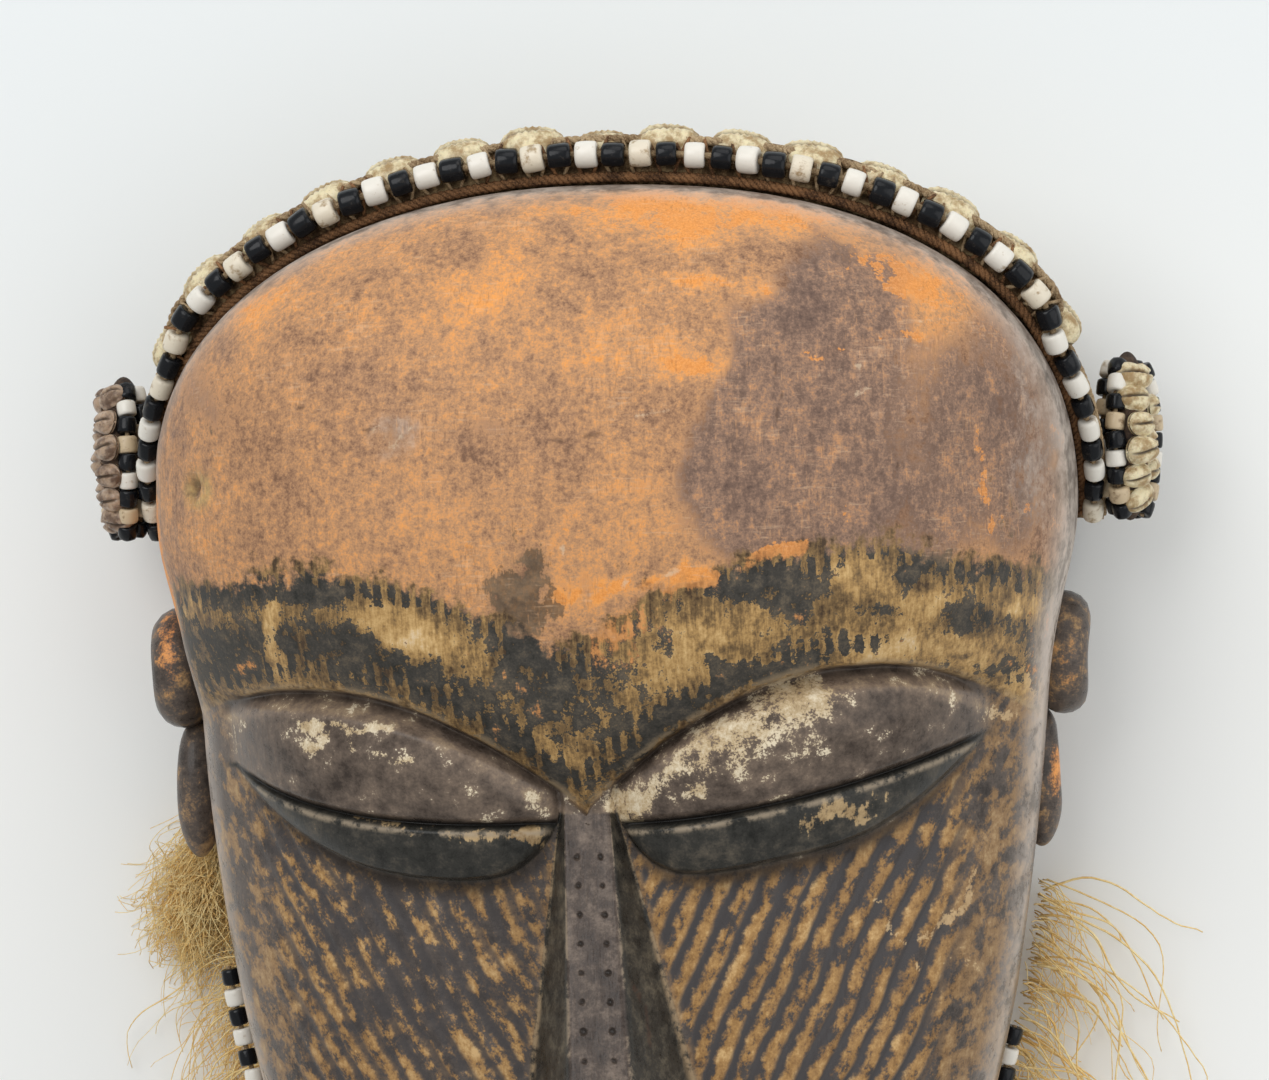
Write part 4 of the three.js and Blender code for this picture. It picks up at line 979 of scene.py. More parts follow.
BROW_BANDS = [
    (((-92, -12), (-81.7, -9.9), (-64, -8.5), (-46, -11.5), (-38, -14)), 3.2, 1.0),
    (((-97, -22), (-82, -20), (-67, -19.2), (-49, -21), (-33, -27.5), (-20.3, -36), (-7, -48.5)), 4.4, 1.0),
    (((4, -49), (15.3, -38.4), (28.7, -30.6), (46, -25.6), (60, -21)), 2.6, 1.05),
]
EAR_ORANGE_PATCHES = [
    (-103, -22, 4, 12, 0, 0.42), (98, -54, 4, 9, 0, 0.5), (-99, -50, 4, 7, 0, 0.25),
    (100, -30, 4, 9, 0, 0.25),
]
EDGE_ORANGE_PATCHES = [(-101, -4, 4, 22, 0, 0.75), (-96, -14, 3, 8, 0, 0.4), (97, 10, 2.5, 22, 0, 0.3)]
CRACKS = [
    (((41, 36), (42, 29), (41, 24)), 0.5, 1.0), (((-59, 29), (-38, 22), (-16, 19), (5, 22)), 0.8, 0.8),
    (((7.5, -92), (10, -98), (11, -106)), 0.5, 1.1), (((62, 30), (66, 20), (65, 8)), 0.7, 0.7),
]
SCRATCHES = [
    (((-6, 24), (8, 25.5), (20, 26)), 0.5, 0.9), (((50, 33), (58, 35)), 0.5, 0.9),
    (((-43, 25), (-36, 19)), 0.6, 0.9), (((-41, 19), (-34, 24)), 0.5, 0.9),
    (((-3.5, -0.5), (-3, -2)), 0.6, 1.3), (((57, 29), (64, 32)), 0.6, 0.9),
    (((9, -9), (24, -6)), 0.6, 0.9), (((-30, 40), (-27, 34)), 0.5, 0.8),
    (((70, 44), (76, 45)), 0.5, 0.8),
]


def near_lines(x, y, lines):
    """Each line's strength on it, falling to 0 past its width."""
    found = np.zeros_like(x)
    for line, width, strength in lines:
        for (x0, y0), (x1, y1) in zip(line, line[1:]):
            length = math.hypot(x1 - x0, y1 - y0)
            t = np.clip(((x - x0) * (x1 - x0) + (y - y0) * (y1 - y0)) / length ** 2, 0, 1)
            apart = np.hypot(x - x0 - t * (x1 - x0), y - y0 - t * (y1 - y0))
            found = np.maximum(found, strength * np.exp(-((apart / width) ** 2)))
    return found


def edge_distance(x, y):
    """About how far inside the outline a place is."""
    def level(u, v):
        above = v > WIDEST_Y
        n = np.where(above, np.where(u < 0, CROWN_ROUNDNESS_LEFT, CROWN_ROUNDNESS_RIGHT), JAW_ROUNDNESS)
        wide = np.where(above, HALF_WIDTH, half_width(np.minimum(v, WIDEST_Y), u)
                        / np.maximum(arc((WIDEST_Y - v) / CHIN_DROP, JAW_ROUNDNESS, JAW_ROUNDNESS), 0.05))
        tall = np.where(above, CROWN_HEIGHT, CHIN_DROP)
        return (np.abs(u / wide) ** n + np.abs((v - WIDEST_Y) / tall) ** n) ** (1 / n)
    here = level(x, y)
    slope = np.hypot(level(x + 0.5, y) - level(x - 0.5, y), level(x, y + 0.5) - level(x, y - 0.5))
    return np.clip((1 - here) / np.maximum(slope, 0.004), 0, 40)


def brow_distance(x, y):
    """How far above the brow's edge a place is, square to the edge."""
    out, brow, _, _, _ = eye_lines(x, y)
    _, brow_after, _, _, _ = eye_lines(x + np.sign(x - nose_x(y) + 1e-6) * 0.5, y)
    slope = np.clip((brow_after - brow) / 0.5, -1.5, 1.5)
    return np.clip((y - brow) / np.sqrt(1 + slope * slope), -40, 60)


def shaken(x, y, far, size, seed):
    """The same places, moved about so that patches get ragged sides."""
    fine = 0.4 * far
    return (x + far * lumps(x, y, size, seed) + fine * lumps(x, y, 0.35 * size, seed + 1),
            y + far * lumps(x, y, size, seed + 2) + fine * lumps(x, y, 0.35 * size, seed + 3))


def wood_values(x, y):
    """What the wood's material reads at each point."""
    out, _, slit, low, full = eye_lines(x, y)
    band, base = nose_band(y), nose_base(y)
    nose_out = x - nose_x(y)
    wobble = 0.16 * lumps(x, y, 17, 11) + 0.07 * lumps(x, y, 6, 12)
    slant, slope = math.sin(GROOVE_TURN), math.cos(GROOVE_TURN)
    part = np.abs(x) / np.maximum(half_width(y, x), 0.01)
    below_lids = smooth(np.minimum(low, slit) - y, 0.3, 1.6)
    grooved = smooth(np.minimum(low, slit) - y, 1.0, 4.0) * (1 - smooth(part, 0.76, 0.88))
    grooved = grooved * smooth(out - base, 0.6, 2.2) * (1 - smooth(-y, 165, 190))
    mouth_far = np.hypot(nose_out / MOUTH_HALF[0], (y - MOUTH_Y) / MOUTH_HALF[1])
    grooved = grooved * smooth(mouth_far, 1.05, 1.3)
    grooved = grooved * np.where(x < 0, 0.75 + 0.25 * lumps(x, y, 21, 13), 1)
    past_eye = smooth(out, 81, 88)
    under = np.minimum(low, slit) - y
    rough = shaken(x, y, 4.5, 13, 31)
    torn = shaken(x, y, 1.6, 5, 35)
    return {
        "from_brow": brow_distance(x, y),
        "below_slit": np.clip(slit - y, -30, 30),
        "out": out,
        "from_edge": edge_distance(x, y),
        # Strength of the painted sheen near the outline, strongest by the right temple
        "handled": 0.6 + 0.4 * smooth(x, 60, 90) * hump(y, -12, 45),
        "lower_lid": (1 - smooth(y, slit - 0.3, slit + 0.3)) * (1 - below_lids) * (1 - past_eye),
        "cheeks": np.maximum(below_lids, past_eye),
        "nose_side": np.clip((np.abs(nose_out) - band) / (base - band + 0.4), -4, 4),
        "nose_along": (NOSE_ROOT[1] - y) / DOT_PITCH,
        "nose_out": nose_out,
        "dot_offset": 0.5 * band - 0.1,
        "groove": (slant * out - slope * y) / GROOVE_PITCH + wobble,
        "groove_along": slope * out + slant * y + np.where(x < 0, 400, 0),
        "grooved": grooved,
        "worn": 0.58 - 0.18 * smooth(-x, -10, 20) + blobs(x, y, WORN_PATCHES),
        # Band of painted shadow just under the lower lid
        "under_lid": smooth(under, -0.5, 0.8) * (1 - smooth(under, 1.0, 6.0)) * full * (1 - past_eye),
        "knot": hump(np.hypot(x - KNOT[0], y - KNOT[1]), 2.4, 1.6) * 0.75,
        "pit": hump(np.hypot((x - KNOT_PIT[0]) / 1.1, (y - KNOT_PIT[1]) / 2.0), 0, 1),
        "lip": smooth(y, -8, 4),
        "orange": blobs(*rough, ORANGE_PATCHES) + near_lines(*torn, ORANGE_LINES),
        "purple": blobs(*rough, PURPLE_PATCHES),
        "dark": blobs(*rough, DARK_PATCHES),
        "grey": blobs(*rough, DUST_AND_SHEEN_PATCHES),
        "cream": blobs(*torn, CREAM_PATCHES) + near_lines(*torn, CREAM_LINES),
        "tan": blobs(*torn, TAN_PATCHES) + near_lines(*torn, TAN_LINES),
        "orange_brow": blobs(*torn, BROW_ORANGE_PATCHES) + near_lines(*torn, ORANGE_LINES),
        "sooty_brow": np.maximum(blobs(*torn, BROW_SOOT_PATCHES), near_lines(*torn, BROW_BANDS)),
        "gold_brow": blobs(*torn, BROW_GOLD_PATCHES),
        "edge_orange": blobs(x, y, EDGE_ORANGE_PATCHES),
        "cracks": near_lines(x, y, CRACKS),
        "scratches": near_lines(x, y, SCRATCHES),
        "inside": np.zeros_like(x),
    }


def carved_relief(x, y, values):
    """The fine carving: how far the surface stands in or out along its own normal."""
    near = np.abs(values["groove"] - np.round(values["groove"]))
    grooves = -GROOVE_DEPTH * values["grooved"] * hump(near, 0, 0.19)
    forehead_part = smooth(values["from_brow"], 0, 4)
    tool = 0.16 * lumps(x, y, 11, 21) + 0.07 * lumps(x, y, 4.5, 22)
    nicks = -0.25 * np.maximum(0, lumps(x, y, 3.1, 23) - 0.62) * (1 - forehead_part)
    hole = hump(np.hypot((x - KNOT_HOLE[0]) / 1.5, (y - KNOT_HOLE[1]) / 2.2), 0, 1)
    return grooves + tool * (0.6 + 0.4 * forehead_part) + nicks - KNOT_HOLE_DEPTH * hole


def grid_edge(width, height):
    """The points round a grid's edge, in order."""
    last = (height - 1) * width
    across_, up = np.arange(width - 1), np.arange(height - 1)
    return np.concatenate([across_, up * width + width - 1, last + width - 1 - across_, last - up * width])


def ring_faces(upper, lower):
    return np.stack([upper, lower, np.roll(lower, -1), np.roll(upper, -1)], axis=-1)


FACE_COLUMNS, FACE_ROWS, BACK_STEP = 240, 330, 5


def wood_shape():
    """The carved front, its sides, the back edge and the hollow, as one closed surface."""
    columns = 2 * stations(FACE_COLUMNS, lambda t: crowded_ends(t) + 0.5 * hump(t, 0.5, 0.06)) - 1
    rows = stations(FACE_ROWS, lambda t: (
        0.6 * crowded_ends(t)
        + 0.5 * smooth(t, row_of(-160), row_of(-130)) * (1 - smooth(t, BROW_ROW, BROW_ROW + 0.1))
        + 1.5 * hump(t, BROW_ROW, 0.014) + 1.2 * hump(t, SLIT_ROW, 0.012) + 1.5 * hump(t, LOW_ROW, 0.012)))
    a, b = np.meshgrid(columns, rows)
    x, y = carved_plan(a, b)
    z = face_height(x, y)
    points = np.stack([x, y, z], axis=-1)
    normals = unit(np.cross(np.gradient(points, axis=1), np.gradient(points, axis=0)))
    values = wood_values(x, y)
    inner = np.minimum(1, (1 - np.abs(a)) * 30) * np.minimum(1, np.minimum(b, 1 - b) * 30)
    points = points + normals * (carved_relief(x, y, values) * inner)[..., None]
    shape = Shape()
    front = points.reshape(-1, 3)
    shape.add(front, [grid_faces(len(rows), len(columns))], **values)

    edge = grid_edge(len(columns), len(rows))
    top = front[edge]
    before, after = np.roll(top, 1, axis=0), np.roll(top, -1, axis=0)
    outward = unit(np.stack([after[:, 1] - before[:, 1], before[:, 0] - after[:, 0]], axis=-1))
    rim = rim_height(top[:, 1])
    full = (top[:, 2] - rim) / (top[:, 2] - WALL_FOOT)
    edge_values = {name: value.ravel()[edge] for name, value in values.items()}
    upper = edge
    for k in range(1, WALL_STEPS + 1):
        depth = full * k / WALL_STEPS
        ring = top.copy()
        ring[:, :2] -= outward * (JAW_WALL_INSET * depth ** 2)[:, None]
        ring[:, 2] = lerp(top[:, 2], WALL_FOOT, depth)
        ring[:, :2] += outward * (0.12 * lumps(ring[:, 1], ring[:, 2], 8, 31))[:, None]
        lower = shape.count + np.arange(len(edge))
        shape.add(ring, [], **edge_values)
        shape.faces.extend(ring_faces(upper, lower).tolist())
        upper = lower

    a, b = np.meshgrid(columns[::BACK_STEP], rows[::BACK_STEP])
    x, y = plan(a, b, WALL)
    hollow = np.stack([x, y, hollow_height(x, y) + 0.5 * lumps(x, y, 12, 41)], axis=-1).reshape(-1, 3)
    start = shape.count
    count = len(columns[::BACK_STEP]) * len(rows[::BACK_STEP])
    shape.add(hollow, [grid_faces(a.shape[0], a.shape[1])[:, ::-1]], inside=np.ones(count))
    back_edge = grid_edge(a.shape[1], a.shape[0])
    foot = hollow[back_edge].copy()
    foot[:, 2] = rim_height(foot[:, 1])
    lower = shape.count + np.arange(len(foot))
    shape.add(foot, [], inside=np.ones(len(foot)))
    shape.faces.extend(ring_faces(start + back_edge, lower)[:, ::-1].tolist())
    fans = upper.reshape(-1, BACK_STEP)
    for i, fan in enumerate(fans):
        chain = [*fan, upper[((i + 1) * BACK_STEP) % len(upper)]]
        here, following = lower[i], lower[(i + 1) % len(lower)]
        shape.faces.extend([int(p), int(here), int(q)] for p, q in zip(chain, chain[1:]))
        shape.faces.append([int(chain[-1]), int(here), int(following)])
    shape.kinds = [0] * len(shape.faces)
    return shape


def ear_parts(side):
    """A hollow ring over a dished lobe, as points and faces."""
    index = 0 if side < 0 else 1
    turns = full_turn(EAR_STEPS)
    t, r = np.meshgrid(turns, full_turn(16), indexing="ij")
    radius = EAR_TUBE * (1 + 0.12 * np.cos(t - 0.6) + 0.05 * np.sin(3 * t))
    distance = EAR_RING + radius * np.cos(r)
    ring = np.stack([EAR_X[index] + side * 1.25 * radius * np.sin(r),
                     EAR[0] + distance * np.cos(t), EAR[1] + 1.1 * distance * np.sin(t)], axis=-1)
    faces = grid_faces(EAR_STEPS, 16, True, True)
    yield ring.reshape(-1, 3), [faces if side < 0 else faces[:, ::-1]]
    t, r = np.meshgrid(turns, np.linspace(0, 1, 8), indexing="ij")
    dish = np.stack([EAR_X[index] - side * (1.2 + 3.4 * (1 - r ** 2)),
                     EAR[0] + (EAR_RING - 1) * r * np.cos(t),
                     EAR[1] + 1.1 * (EAR_RING - 1) * r * np.sin(t)], axis=-1)
    faces = grid_faces(EAR_STEPS, 8, looped=True)
    yield dish.reshape(-1, 3), [faces if side > 0 else faces[:, ::-1]]
    t, r = np.meshgrid(turns, np.linspace(0, math.pi, 25), indexing="ij")
    sized = 1 - 0.1 * np.cos(r)
    lobe = np.stack([EAR_LOBE_X[index] + EAR_LOBE_HALF[0] * sized * np.sin(r) * np.cos(t),
                     EAR_LOBE[0] - EAR_LOBE_HALF[1] * np.cos(r),
                     EAR_LOBE[1] + EAR_LOBE_HALF[2] * sized * np.sin(r) * np.sin(t)], axis=-1)
    dent = hump(np.hypot((lobe[..., 1] - EAR_LOBE[0] - 3) / 7, (lobe[..., 2] - EAR_LOBE[1]) / 3.6), 0, 1)
    outside = smooth(side * (lobe[..., 0] - EAR_LOBE_X[index]), 1.0, 3.0)
    lobe[..., 0] -= side * 2.2 * dent * outside
    yield lobe.reshape(-1, 3), [grid_faces(EAR_STEPS, 25, looped=True)[:, ::-1]]


def build_wood():
    shape = wood_shape()
    for side in (-1, 1):
        for points, faces in ear_parts(side):
            x, y = points[:, 0], points[:, 1]
            count = np.ones(len(points))
            shape.add(points, faces, from_brow=-20 * count, cheeks=count, worn=0.3 * count,
                      out=96 * count, from_edge=8 * count, nose_side=4 * count, below_slit=20 * count,
                      edge_orange=blobs(x, y, EAR_ORANGE_PATCHES))
    piece("carved_face", shape, [WOOD], ["face"])


build_wood()


# Lines along the hairline and the jaw

class Line:
    """A line through points, measured along its length."""

    def __init__(self, points):
        self.points = np.asarray(points, float)
        steps = np.linalg.norm(np.diff(self.points, axis=0), axis=1)
        self.lengths = np.concatenate([[0], np.cumsum(steps)])
        self.total = self.lengths[-1]

    def at(self, t):
        where = np.clip(t, 0, 1) * self.total
        return np.stack([np.interp(where, self.lengths, axis) for axis in self.points.T], axis=-1)

    def along(self, t):
        return unit(self.at(t + 0.004) - self.at(t - 0.004))

    def out(self, t):
        """Level and square to the line, away from the mask."""
        along = self.along(t)
        return unit(np.stack([-along[..., 1], along[..., 0], 0 * along[..., 0]], axis=-1))


def flat_line(x, y):
    return Line(np.stack([x, y, np.zeros_like(x)], axis=-1))


def hairline():
    y = np.arange(HAIRLINE_END_Y, TOP_CORNER_Y, 1.5)
    left, right = -half_width(y, -1 + 0 * y), half_width(y, 1 + 0 * y)
    corner = np.array([TOP_CORNER_Y])
    x = np.linspace(-half_width(corner, -1)[0], half_width(corner, 1)[0], 120)
    return flat_line(np.concatenate([left, x, right[::-1]]), np.concatenate([y, crown_y(x), y[::-1]]))


def jaw_line(left_top, right_top):
    y = np.arange(right_top, BOTTOM_CORNER_Y, -2.0)
    corner = half_width(np.array([BOTTOM_CORNER_Y]), 1)[0]
    x = np.linspace(corner, -corner, 70)
    back = np.arange(left_top, BOTTOM_CORNER_Y, -2.0)[::-1]
    xs = np.concatenate([half_width(y, 1 + 0 * y), x, -half_width(back, -1 + 0 * back)])
    return flat_line(xs, np.concatenate([y, jaw_y(x), back]))


HAIRLINE = hairline()


def ledge_width(y):
    return lerp(LEDGE_AT_LOBES, LEDGE, smooth(y, LOBE_TOP_Y - 4, LOBE_TOP_Y + 5))


def ledge_height(y):
    return rim_height(y) + 3


def cap_out(y, part):
    """How far the cap stands outside the outline, at a part of its height from the back."""
    front = ledge_width(y) - LEDGE_OVERHANG
    back = front - 1 - CAP_TUCK * smooth(y, 0, 75)
    return back + (front - back) * np.sqrt(1 - (1 - part) ** 2)


def beside(line, t, offset, height):
    """Points beside a flat line, a distance out from it and at a height."""
    points = line.at(t) + line.out(t) * np.asarray(offset)[..., None]
    points[..., 2] = height
    return points


def along_hairline(t, share, lift):
    """Points over the ledge, at a share of its width and a lift over its top."""
    y = HAIRLINE.at(t)[..., 1]
    return beside(HAIRLINE, t, share * ledge_width(y), ledge_height(y) + lift)


# Cap

def rounded(section):
    """Cuts a closed outline's corners, twice."""
    for _ in range(2):
        after = np.roll(section, -1, axis=0)
        section = np.stack([lerp(section, after, 0.25), lerp(section, after, 0.75)],
                           axis=1).reshape(-1, *section.shape[1:])
    return section


def build_cap():
    count = 260
    t = np.linspace(0, 1, count)
    y = HAIRLINE.at(t)[:, 1]
    top, ledge = ledge_height(y), ledge_width(y)
    wall = top - LEDGE_THICKNESS - 1
    corners = [(0.4 + 0 * y, top - 0.4), (0.3 * ledge, top + 0.7), (0.42 * ledge, top - 0.3),
               (0.84 * ledge, top - 0.3),
               (ledge, top + 0.6), (ledge + 0.5, top - 2), (ledge - 0.6, top - LEDGE_THICKNESS)]
    corners += [(cap_out(y, part), wall * part) for part in (1, 0.85, 0.7, 0.55, 0.4, 0.25)]
    corners += [(cap_out(y, 0), 0 * y), (cap_out(y, 0) - CAP_THICKNESS, 0 * y)]
    corners += [(cap_out(y, part) - CAP_THICKNESS, wall * part) for part in (0.25, 0.55)]
    corners += [(0.4 + 0 * y, wall)]
    section = rounded(np.array(corners))
    offset, height = section[:, 0], section[:, 1]
    bumpy = 0.35 * lumps(HAIRLINE.total * t[None], height * 3, 5, 51)
    points = np.stack([beside(HAIRLINE, t, o + b, h) for o, h, b in zip(offset, height, bumpy)], axis=1)
    points[..., 2] = np.maximum(points[..., 2], 0)
    wide = len(offset)
    over = np.cumsum(np.linalg.norm(np.diff(points, axis=1, prepend=points[:, :1]), axis=-1), axis=1)
    last = (count - 1) * wide + np.arange(wide)
    faces = [grid_faces(count, wide, True), np.arange(wide)[::-1][None], last[None]]
    shape = Shape().add(points, faces,
                        along=np.broadcast_to((t * HAIRLINE.total)[:, None], over.shape), over=over)
    piece("cap_cloth", shape, [CLOTH], ["cap"])


def twisted(centre, out, up, strands, strand_radius, wind_radius, pitch):
    """Strands wound round a line of points."""
    lengths = Line(centre).lengths
    for k in range(strands):
        angle = 2 * math.pi * (lengths / pitch + k / strands)
        offset = np.cos(angle)[:, None] * out + np.sin(angle)[:, None] * up
        yield tube(centre + wind_radius * offset, strand_radius, 6)


def build_binding():
    t = np.linspace(0.004, 0.996, 900)
    y = HAIRLINE.at(t)[:, 1]
    shape = Shape()
    for share, lift, strand, wind, pitch in ((0.17, 1.0, 0.62, 0.6, 4.6), (0.93, 0.5, 0.6, 0.5, 5.4)):
        centre = along_hairline(t, share, lift)
        centre[:, 2] += 0.25 * lumps(HAIRLINE.total * t, 0 * t, 4, 61)
        along = unit(np.gradient(centre, axis=0))
        out = HAIRLINE.out(t)
        up = np.cross(along, out)
        for points, faces in twisted(centre, out, up, 3, strand, wind, pitch):
            shape.add(points, faces, 0 if share < 0.5 else 1)
    piece("hairline_binding", shape, [BINDING, THREAD])


# Beads

def bead(centre, along, first, second, length, radius, sides, cut):
    """A short pierced cylinder with rounded ends. cut flattens its side into facets."""
    profile = np.array([(-0.5, 0.24), (-0.5, 0.8), (-0.44, 0.95), (-0.3, 1), (0, 1.02), (0.3, 1),
                        (0.44, 0.95), (0.5, 0.8), (0.5, 0.24), (0.3, 0.2), (-0.3, 0.2)])
    turns = np.arange(sides) * 2 * math.pi / sides
    facet = 1 - cut * (0.5 - 0.5 * np.cos(turns * 7))
    ring = np.cos(turns)[:, None] * first + np.sin(turns)[:, None] * second
    points = (centre + profile[:, None, :1] * length * along
              + radius * profile[:, None, 1:] * facet[None, :, None] * ring)
    return points.reshape(-1, 3), [grid_faces(len(profile), sides, True, True)]


def string_of_beads(shape, line, pitch, length, radius, kinds, seed, start=0, stained=None):
    """Beads end to end along a line in space. kinds gives each bead's material in turn.

    radius is a number, or a function of a bead's place. stained takes some white beads' place.
    """
    rng = np.random.default_rng(seed)
    count = int(round(line.total / pitch))
    t = (np.arange(count) + 0.5) / count
    centres, along, out = line.at(t), line.along(t), line.out(t)
    for k in range(count):
        kind = kinds[(k + start) % len(kinds)]
        if kind == 0 and stained is not None and rng.random() < STAINED_SHARE:
            kind = stained
        tilt = rng.normal(0, 0.06, 2)
        direction = unit(along[k] + tilt[0] * out[k] + [0, 0, tilt[1]])
        first = unit(np.cross(direction, np.cross(out[k], direction)))
        second = np.cross(direction, first)
        centre = centres[k] + rng.normal(0, 0.14, 3)
        size = (radius(centre) if callable(radius) else radius) * rng.uniform(0.92, 1.04)
        points, faces = bead(centre, direction, first, second, length * rng.uniform(0.88, 1.05), size,
                             14 if kind == 1 else 18, 0.05 if kind == 1 else 0.0)
        shape.add(points, faces, kind)
    return t


def hairline_bead_radius(place):
    """Smaller beads run beside the lobes."""
    return lerp(0.82, 1, smooth(place[1], LOBE_TOP_Y - 12, LOBE_TOP_Y + 8)) * BEAD_RADIUS


def build_hairline_beads():
    t = np.linspace(0, 1, 240)
    line = Line(along_hairline(t, BEAD_PLACE, BEAD_LIFT))
    shape = Shape()
    places = string_of_beads(shape, line, BEAD_PITCH, BEAD_LENGTH, hairline_bead_radius, [0, 1], 71, 1, 3)
    shape.add(*tube(line.at(np.linspace(0, 1, 300)), BEAD_THREAD), 2)
    piece("hairline_bead_row", shape, [WHITE_GLASS, BLACK_GLASS, THREAD, STAINED_GLASS],
          ["hairline_beads"])

    stitches = Shape()
    rng = np.random.default_rng(72)
    gaps = np.concatenate([[0.002], (places[1:] + places[:-1]) / 2, [0.998]])
    arch = np.linspace(0, math.pi, 11)
    for t0 in gaps:
        for lean in ((-0.006, 0.006) if rng.random() < 0.45 else (-0.005,)):
            reach = np.linspace(-1, 1, 11)
            centre, along, out = line.at(np.array(t0)), line.along(np.array(t0)), line.out(np.array(t0))
            up = np.cross(along, out)
            up = up if up[2] > 0 else -up
            wide = 0.36 * ledge_width(centre[1])
            rise = 2.0 + rng.uniform(-0.2, 0.5)
            points = (centre + out * (reach * wide)[:, None] + up * (rise * np.sin(arch) - 2.6)[:, None]
                      + along * (reach * lean * line.total * rng.uniform(0.7, 1.2))[:, None])
            stitches.add(*tube(points, STITCH_RADIUS, 5), int(rng.random() < 0.6))
    piece("whip_stitches", stitches, [BINDING, THREAD])


def build_jaw_beads():
    line = jaw_line(*JAW_BEAD_TOPS)
    t = np.linspace(0, 1, 200)
    loose = smooth(t, 0.6, 0.85)
    offset = lerp(JAW_BEADS_TIGHT[0], JAW_BEADS_SLACK[0], loose) + 0.3 * lumps(t * line.total, 0 * t, 14, 81)
    height = lerp(JAW_BEADS_TIGHT[1], JAW_BEADS_SLACK[1], loose) + 0.4 * lumps(t * line.total, 0 * t, 11, 82)
    course = Line(beside(line, t, offset, height))
    shape = Shape()
    # Two white beads side by side under the chin let both ends start as they do
    kinds = [1, 0] * 21 + [0, 1] * 40
    string_of_beads(shape, course, JAW_BEAD_PITCH, JAW_BEAD_LENGTH, JAW_BEAD_RADIUS, kinds, 83)
    shape.add(*tube(course.at(np.linspace(0, 1, 260)), JAW_BEAD_THREAD), 2)
    piece("jaw_bead_row", shape, [WHITE_GLASS, BLACK_GLASS, THREAD], ["jaw_beads"])


# Shells

def cowrie(half):
    """A cowrie lying on its back: a dome with a toothed slit, on the origin, long along X."""
    u = np.sin(np.linspace(-1, 1, 33) * math.pi / 2)
    w = np.linspace(-1, 1, 25)
    w = np.sign(w) * np.abs(w) ** 1.25
    u, w = np.meshgrid(u, w, indexing="ij")
    long, wide, high = half
    taper = np.sqrt(np.maximum(1 - np.abs(u) ** 2.6, 0)) * (1 - 0.12 * u)
    x, y = long * u, wide * w * taper
    z = high * np.sqrt(np.maximum(1 - np.abs(u) ** 3, 0)) * np.sqrt(np.maximum(1 - np.abs(w) ** 2.4, 0))
    open_part = 1 - np.abs(u) ** 6
    slit = hump(y, 0.15 * wide * np.sin(1.5 * u), 0.11 * wide) * open_part
    teeth = np.cos(2 * math.pi * x / 1.5) * hump(np.abs(y), 0.27 * wide, 0.17 * wide) * (1 - u ** 4)
    z = z - 0.3 * high * slit + 0.055 * high * teeth
    rim = grid_edge(25, 33)
    points = np.stack([x, y, z], axis=-1).reshape(-1, 3)
    foot = points[rim].copy()
    foot[:, 2] -= 0.22 * high
    faces = grid_faces(33, 25)
    lower = len(points) + np.arange(len(rim))
    skirt = ring_faces(rim, lower)[:, ::-1]
    return np.concatenate([points, foot]), [faces, skirt], np.concatenate([slit.ravel(), np.zeros(len(rim))])


def put_cowrie(shape, half, centre, along, normal, rng, kind=0):
    points, faces, slit = cowrie(half)
    along = unit(along + rng.normal(0, 0.07, 3))
    normal = unit(normal - along * normal.dot(along))
    side = np.cross(normal, along)
    flip = rng.choice([-1.0, 1.0])
    size = rng.uniform(0.9, 1.06)
    local = points * size
    placed = centre + flip * local[:, :1] * along + flip * local[:, 1:2] * side + local[:, 2:] * normal
    shape.add(placed, faces, kind, slit=slit)


def on_cap(t, part):
    """A place on the cap's outside with its directions along and outward."""
    y = HAIRLINE.at(t)[1]
    wall = ledge_height(y) - LEDGE_THICKNESS - 1
    rise = float(cap_out(y, part + 0.02) - cap_out(y, part - 0.02))
    out = HAIRLINE.out(t)
    facing = unit(np.array([0.04 * wall, -rise]))
    normal = out * facing[0] + np.array([0, 0, facing[1]])
    centre = HAIRLINE.at(t) + out * cap_out(y, part)
    centre[2] = part * wall
    return centre, HAIRLINE.along(t), normal


def on_ledge(t):
    """A place on the ledge's outer edge, facing up and out."""
    y = HAIRLINE.at(t)[1]
    out = HAIRLINE.out(t)
    centre = HAIRLINE.at(t) + out * (ledge_width(y) - 3.4)
    centre[2] = ledge_height(y) - 3.0
    return centre, HAIRLINE.along(t), unit(out + np.array([0, 0, 0.45]))


def build_cowries():
    for row, part in enumerate(COWRIE_ROWS):
        rng = np.random.default_rng(91 + row)
        count = int(HAIRLINE.total * COWRIE_SPAN / COWRIE_PITCH)
        half = count / 2 * COWRIE_PITCH / HAIRLINE.total
        shape = Shape()
        size = COWRIE_HALF if row else LEDGE_COWRIE_HALF
        for k in range(count):
            t = np.array(0.5 + lerp(-half, half, (k + 0.5) / count) + rng.normal(0, 0.0007))
            centre, along, normal = on_ledge(t) if row == 0 else on_cap(t, part)
            put_cowrie(shape, size, centre + normal * (1.2 + rng.normal(0, 0.35)), along, normal, rng)
        piece(f"cowries_{row + 1}", shape, [SHELL], [f"cowrie_row_{row + 1}"])


# Temple lobes

# Each string on a lobe: what is on it, how far round the lobe it lies in degrees, and its half size
LOBE_STRINGS = (("beads", 160, 2.3), ("beads", 120, 2.3), ("shells", 62, 3.0), ("shells", 12, 3.0),
                ("beads", -24, 2.2), ("beads", -58, 2.2))


